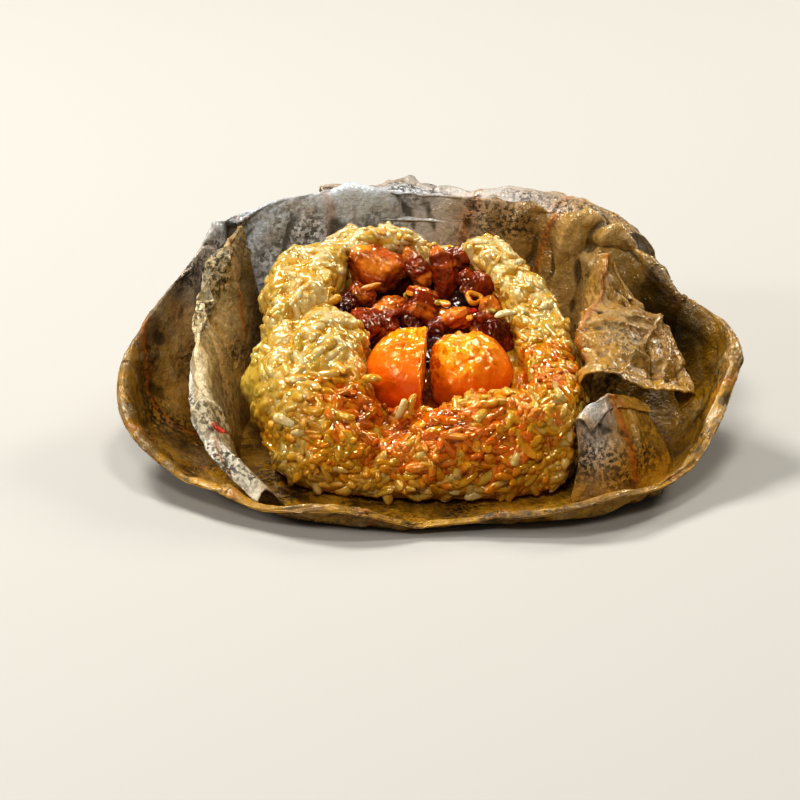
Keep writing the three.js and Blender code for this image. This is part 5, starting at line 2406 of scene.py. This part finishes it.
@dataclass(frozen=True)
class Chunk:
    """A chunk of braised meat: middle, half sizes, turn about Z, Y and X in degrees, kind."""

    at: tuple
    half: tuple
    turn: tuple
    kind: MeatKind = MeatKind.RED
    size: tuple = (110, 72)
    facets: int = 7
    cut_depth: tuple = (0.8, 1.02)
    boxy: float = 3.0
    sharp: float = 16.0

    def body(self, direction: Array, number: int) -> Array:
        """The chunk in its own frame.

        A rounded box with an uneven skin is trimmed by a few flat cuts, with
        soft edges, and then roughened by shreds that run along it.

        Args:
            direction: Directions over a ball.
            number: The chunk's number, which makes it differ.

        Returns:
            The places of its points.
        """
        box = np.sum(np.abs(direction) ** self.boxy, axis=-1) ** (-1.0 / self.boxy)
        x, y, z = direction[:, 0], direction[:, 1], direction[:, 2]
        skin = 0.1 * np.sin(4.3 * x + 1.7 * number) * np.cos(3.7 * y - 0.9 * number)
        skin += 0.08 * np.sin(5.1 * z + 2.3 * number)
        draw = np.random.default_rng(900 + number)
        cuts = unit(draw.normal(size=(self.facets, 3)))
        depth = draw.uniform(*self.cut_depth, self.facets)
        flat = depth / np.maximum(direction @ cuts.T, 0.25)
        whole = np.concatenate([(box * (1.03 + skin))[:, None], flat], axis=-1)
        reach = -np.log(np.sum(np.exp(-self.sharp * whole), axis=-1)) / self.sharp
        local = direction * reach[:, None] * np.array(self.half)
        shreds = 0.34 * value_noise(local * (0.3, 1.0, 1.0), 1.1, 360 + number)
        shreds += 0.3 * crumpled(local, 2.2, 380 + number, 4)
        shreds += 0.14 * value_noise(local, 0.55, 390 + number)
        return local + direction * shreds[:, None]

    def fat(self, local: Array, number: int) -> Array:
        """How fat the meat is: bands across its thickness.

        Args:
            local: Places in the chunk's own frame.
            number: The chunk's number.

        Returns:
            Amounts from 0 to 1.
        """
        bands = value_noise(local * (0.25, 0.45, 1.2), 2.4, 420 + number)
        share = -0.12 if self.kind is MeatKind.BROWN else 0.08
        return smooth(bands, share, share + 0.3)

    def build(self, number: int, finish: bpy.types.Material) -> None:
        """Place the chunk.

        Args:
            number: The chunk's number.
            finish: The finish of its kind.
        """
        node = f"meat_{number + 1:02d}"
        local = self.body(ball_directions(*self.size), number)
        shape = ball_shape(turned(local, self.turn, self.at), *self.size)
        shape.values = {"fat": self.fat(local, number)}
        place_piece(node + "_chunk", shape, finish, Slot.MEAT, node)


class BitKind(Enum):
    """Small bits in and beside the filling."""

    ONION = "bits_onion"
    GREEN = "bits_green"
    CHILLI = "bits_chilli"


@dataclass(frozen=True)
class Bit:
    """A small soft bit: kind, middle, half sizes and turn about Z, Y and X in degrees."""

    kind: BitKind
    at: tuple
    half: tuple
    turn: tuple
    size: tuple = (20, 12)

    def shape(self, number: int) -> Shape:
        """A flattened, dented ball.

        Args:
            number: The bit's number, which makes it differ.

        Returns:
            The shape.
        """
        direction = ball_directions(*self.size)
        dent = 1.0 + 0.22 * value_noise(direction, 0.7, 500 + number)
        local = direction * dent[:, None] * np.array(self.half)
        local[:, 2] += 0.18 * local[:, 0] ** 2 / self.half[0]
        return ball_shape(turned(local, self.turn, self.at), *self.size)


@dataclass(frozen=True)
class OnionRing:
    """A thin slice of spring onion: a tilted ring with an uneven tube."""

    at: tuple = (11.0, 6.4, 33.6)
    radius: float = 1.75
    tube: float = 0.62
    turn: tuple = (20, 12, 34)
    size: tuple = (36, 12)

    def shape(self) -> Shape:
        """A ring of rings, closed both ways.

        Returns:
            The shape.
        """
        columns, rows = self.size
        turn, round_tube = turns(columns), turns(rows)
        wave = 1.0 + 0.14 * np.sin(3 * turn + 1)
        reach = self.radius * wave + self.tube * np.cos(round_tube)[:, None]
        local = np.stack([
            reach * np.cos(turn),
            reach * np.sin(turn) * 0.85,
            np.broadcast_to(1.3 * self.tube * np.sin(round_tube)[:, None], reach.shape),
        ], axis=-1)
        placed = turned(local, self.turn, self.at)
        quads = grid_quads(rows + 1, columns, True) % (rows * columns)
        return Shape(placed.reshape(-1, 3), [quads])


@dataclass
class Filling:
    """All meat chunks, both yolk halves, the sauce they lie in and small bits."""

    chunks: tuple = (
        Chunk((-12.4, 18.0, 37.0), (7.2, 5.8, 5.4), (-14, 14, 10), MeatKind.BROWN),
        Chunk((-2.6, 18.0, 36.0), (2.9, 4.2, 6.2), (10, -26, 8)),
        Chunk((3.9, 16.8, 36.2), (3.1, 3.8, 7.4), (-8, -16, -14)),
        Chunk((8.6, 21.4, 38.0), (4.0, 3.2, 3.2), (22, 12, 0)),
        Chunk((9.6, 16.6, 34.4), (3.6, 2.6, 2.4), (12, 22, 6)),
        Chunk((12.4, 11.8, 34.6), (4.1, 3.6, 3.9), (28, 34, 14)),
        Chunk((14.8, 6.4, 30.8), (3.0, 3.4, 3.0), (-20, 12, 18), MeatKind.BROWN),
        Chunk((6.9, 3.0, 29.6), (3.7, 3.2, 3.3), (-12, -30, 22), MeatKind.BROWN),
        Chunk((12.6, 2.6, 28.4), (2.9, 3.2, 3.1), (24, 18, -12)),
        Chunk((17.3, -1.6, 26.6), (3.2, 3.4, 5.0), (14, -36, 10), MeatKind.DARK),
        Chunk((-1.8, 7.5, 31.2), (4.6, 4.0, 4.6), (18, 30, -16)),
        Chunk((-20.3, 7.0, 31.4), (3.6, 3.4, 3.0), (20, -12, 20), MeatKind.DARK),
        Chunk((-16.8, 10.6, 32.6), (3.4, 3.0, 2.4), (-24, 16, 8), MeatKind.BROWN),
        Chunk((-15.8, 1.2, 28.6), (4.0, 3.6, 4.0), (-20, 24, 12)),
        Chunk((-9.6, 6.2, 30.4), (4.4, 3.6, 2.8), (12, -8, 10)),
        Chunk((-10.0, 0.6, 28.0), (3.4, 2.8, 2.8), (30, 28, 26)),
        Chunk((-4.2, 2.4, 28.2), (2.8, 2.6, 2.4), (40, 6, -14), MeatKind.DARK),
        Chunk((2.2, 1.8, 28.0), (2.6, 2.8, 2.2), (-18, 14, 20), MeatKind.DARK),
    )
    yolks: tuple = (
        YolkHalf("yolk_left", (-1.2, -15.2, 22.4), (14.6, 13.4, 11.4), -0.75, 1, 0.02, 1.1,
                 (-4, -13, 35), (11, 11, 8)),
        YolkHalf("yolk_right", (9.0, -13.5, 22.0), (11.0, 12.5, 9.6), -0.45, -1, 0.05, 0.4,
                 (7, -16, 32), (10, 11, 9)),
    )
    bits: tuple = (
        Bit(BitKind.ONION, (-4.7, 6.0, 35.0), (1.3, 0.9, 0.6), (30, 20, 20)),
        Bit(BitKind.ONION, (3.9, 5.2, 32.6), (1.4, 1.0, 0.6), (-20, 10, 24)),
        Bit(BitKind.GREEN, (-5.6, 6.6, 34.2), (1.3, 0.9, 0.6), (60, 0, 30)),
        Bit(BitKind.GREEN, (2.2, 6.0, 32.6), (1.2, 0.8, 0.6), (10, 0, 30)),
        Bit(BitKind.GREEN, (15.6, 3.0, 31.6), (1.1, 0.8, 0.6), (-40, 0, 20)),
        Bit(BitKind.ONION, (9.8, -0.4, 31.0), (1.3, 0.8, 0.6), (70, 0, 20)),
        Bit(BitKind.CHILLI, (10.6, 1.4, 32.2), (1.2, 0.8, 0.5), (20, 0, 20)),
        Bit(BitKind.CHILLI, (-50.2, -38.2, 18.0), (2.0, 0.8, 0.5), (-24, 30, 10)),
    )
    sauce_size: tuple = (160, 120)
    sauce_middle: tuple = (-0.5, 6.5)
    sauce_reach: tuple = (22.0, 17.0)
    sauce_film: float = 0.8
    sauce_depth: float = 2.0

    def hollows(self) -> tuple:
        """Middles and half sizes of all that lies in the rice."""
        meat = tuple((chunk.at, chunk.half) for chunk in self.chunks)
        return meat + tuple((yolk.at, yolk.half) for yolk in self.yolks)

    def sauce_shape(self, mound: Mound) -> Shape:
        """Sauce between the chunks: a skin over the bed that creeps up each chunk it meets.

        It is the bed's height plus a film, raised by a bell round each chunk,
        on rings that end where the wall of rice starts.

        Args:
            mound: The mound that it lies in.

        Returns:
            The shape.
        """
        columns, rows = self.sauce_size
        turn = turns(columns)
        reach = np.linspace(0.02, 1.0, rows)[:, None]
        x = self.sauce_middle[0] + self.sauce_reach[0] * reach * np.cos(turn)
        y = self.sauce_middle[1] + self.sauce_reach[1] * reach * np.sin(turn)
        height = mound.bed_height(y) + self.sauce_film
        for chunk in self.chunks:
            away = (x - chunk.at[0]) ** 2 + (y - chunk.at[1]) ** 2
            height += 1.6 * np.exp(-away / (0.9 * max(chunk.half[0], chunk.half[1])) ** 2)
        flat = np.stack([x, y, height], axis=-1)
        height = height + 0.6 * value_noise(flat, 4.0, 81) + 0.25 * value_noise(flat, 1.4, 82)
        height = height - 5.0 * smooth(np.broadcast_to(reach, height.shape), 0.84, 1.0)
        upper = np.stack([x, y, height], axis=-1)
        lower = upper - np.array([0.0, 0.0, self.sauce_depth])
        count = rows * columns
        face = grid_quads(rows, columns, True)[:, ::-1]
        rim = np.arange(columns) + count - columns
        after = np.roll(rim, -1)
        wall = np.stack([rim, rim + count, after + count, after], axis=-1)
        points = np.concatenate([upper.reshape(-1, 3), lower.reshape(-1, 3)])
        middles = np.array([upper[0].mean(axis=0), lower[0].mean(axis=0)])
        caps = [fan(0, columns, 2 * count, True), fan(count, columns, 2 * count + 1)]
        return Shape(np.concatenate([points, middles]),
                     [face, face[:, ::-1] + count, wall, *caps])

    def bit_shape(self, kind: BitKind) -> Shape:
        """All bits of one kind.

        Args:
            kind: The kind.

        Returns:
            One shape that holds them all.
        """
        shapes = [bit.shape(number) for number, bit in enumerate(self.bits) if bit.kind is kind]
        if kind is BitKind.ONION:
            shapes.append(OnionRing().shape())
        whole = shapes[0]
        for shape in shapes[1:]:
            whole = whole.joined(shape)
        return whole

    def build(self, meats: dict[MeatKind, bpy.types.Material], yolk: bpy.types.Material,
              sauce: bpy.types.Material, bits: dict[BitKind, bpy.types.Material],
              mound: Mound) -> None:
        """Place chunks, yolk halves, sauce and bits.

        Args:
            meats: Finish of each kind of meat.
            yolk: Finish of the yolk.
            sauce: Finish of the sauce.
            bits: Finish of each kind of bits.
            mound: The rice that all lies in.
        """
        for number, chunk in enumerate(self.chunks):
            chunk.build(number, meats[chunk.kind])
        for half in self.yolks:
            half.build(yolk)
        place_piece("sauce_pool", self.sauce_shape(mound), sauce, Slot.MEAT)
        for kind in BitKind:
            place_piece(kind.value, self.bit_shape(kind), bits[kind], Slot.MEAT)


# ===== Stage =====

@dataclass(frozen=True)
class Lamp:
    """A soft rectangular lamp: where it stands, its size, power and tint."""

    name: str
    at: tuple
    size: tuple
    watts: float
    tint: tuple = (1.0, 0.97, 0.92)

    def build(self, aim: tuple) -> None:
        """Place the lamp.

        Args:
            aim: What it points at.
        """
        data = bpy.data.lights.new(self.name, "AREA")
        data.shape = "RECTANGLE"
        data.size, data.size_y = self.size
        data.energy = self.watts
        data.color = self.tint
        lamp = bpy.data.objects.new(self.name, data)
        lamp.location = self.at
        way = Vector(aim) - Vector(self.at)
        lamp.rotation_euler = way.to_track_quat("-Z", "Y").to_euler()
        bpy.context.scene.collection.objects.link(lamp)


@dataclass
class Stage:
    """Camera, table and lights."""

    camera_at: tuple = (-6.4, -915.8, 390.8)
    pitch: float = 22.81
    roll: float = 0.12
    lens: float = 180.0
    sensor: float = 36.0
    table: float = 6.0
    aim: tuple = (0.0, 0.0, 0.02)
    sky: float = 0.14
    sky_tint: tuple = (1.0, 0.98, 0.94, 1.0)
    lamps: tuple = (
        Lamp("key", (-0.42, 0.42, 0.75), (0.26, 0.26), 8.5),
        Lamp("rim", (0.55, 0.55, 0.5), (0.2, 0.24), 3.6, (1.0, 0.96, 0.88)),
        Lamp("front", (-0.1, -0.85, 0.85), (0.25, 0.2), 4.8),
        Lamp("side", (-0.85, -0.3, 0.5), (0.2, 0.22), 3.4),
        Lamp("top", (0.12, 0.0, 1.0), (0.2, 0.2), 3.4),
    )

    def place_camera(self) -> None:
        """The camera at the picture's own angle."""
        data = bpy.data.cameras.new("camera")
        data.lens = self.lens
        data.sensor_width = self.sensor
        data.clip_end = 20.0
        camera = bpy.data.objects.new("camera", data)
        camera.location = [value * MM for value in self.camera_at]
        camera.rotation_euler = Euler((math.radians(90.0 - self.pitch),
                                       math.radians(self.roll), 0.0))
        bpy.context.scene.collection.objects.link(camera)
        bpy.context.scene.camera = camera

    def place_table(self) -> None:
        """A wide pale floor."""
        side = self.table / 2 / MM
        corners = np.array([[-side, -side, 0], [side, -side, 0], [side, side, 0],
                            [-side, side, 0]], dtype=float) + MIDDLE
        table = make_object("table", Shape(corners, [np.array([[0, 1, 2, 3]])]),
                            FloorFinish().build())

    def build(self) -> None:
        """Camera, table, lamps and a pale sky."""
        view = bpy.context.scene.view_settings
        view.view_transform = "Standard"
        view.look = "Medium High Contrast"
        self.place_camera()
        self.place_table()
        for lamp in self.lamps:
            lamp.build(self.aim)
        world = bpy.data.worlds.new("soft_sky")
        world.use_nodes = True
        sky = world.node_tree.nodes["Background"]
        sky.inputs["Color"].default_value = self.sky_tint
        sky.inputs["Strength"].default_value = self.sky
        bpy.context.scene.world = world


def main() -> None:
    """Build every part of the picture in order."""
    Stage().build()
    filling = Filling()
    rice = Rice(hollows=filling.hollows())
    Leaf().build(LeafFinish().build())
    grains = {kind: RiceFinish(kind.value) for kind in GrainKind}
    grains[GrainKind.AMBER] = RiceFinish(GrainKind.AMBER.value, gloss=(1.0, 0.8, 0.4, 1.0))
    core = RiceFinish("rice_core", film=0.00012, glow=1.0, glow_reach=0.001)
    rice.build(core.build(), {kind: finish.build() for kind, finish in grains.items()})
    meats = {
        MeatKind.BROWN: MeatFinish("meat_brown", lean=colour(168, 74, 12),
                                   fat=colour(224, 138, 40), dark=colour(92, 28, 4)),
        MeatKind.RED: MeatFinish("meat_red"),
        MeatKind.DARK: MeatFinish("meat_dark", lean=colour(82, 16, 4),
                                  fat=colour(140, 46, 12), dark=colour(28, 5, 2)),
    }
    bits = {
        BitKind.ONION: BitFinish("bits_onion", colour(226, 166, 50), colour(190, 112, 18)),
        BitKind.GREEN: BitFinish("bits_green", colour(176, 150, 42), colour(110, 92, 20)),
        BitKind.CHILLI: BitFinish("bits_chilli", colour(196, 48, 10), colour(120, 16, 4)),
    }
    filling.build({kind: finish.build() for kind, finish in meats.items()},
                  YolkFinish().build(), SauceFinish().build(),
                  {kind: finish.build() for kind, finish in bits.items()}, rice.mound)


if __name__ == "__main__":
    logging.basicConfig(level=logging.INFO, format="%(message)s")
    main()
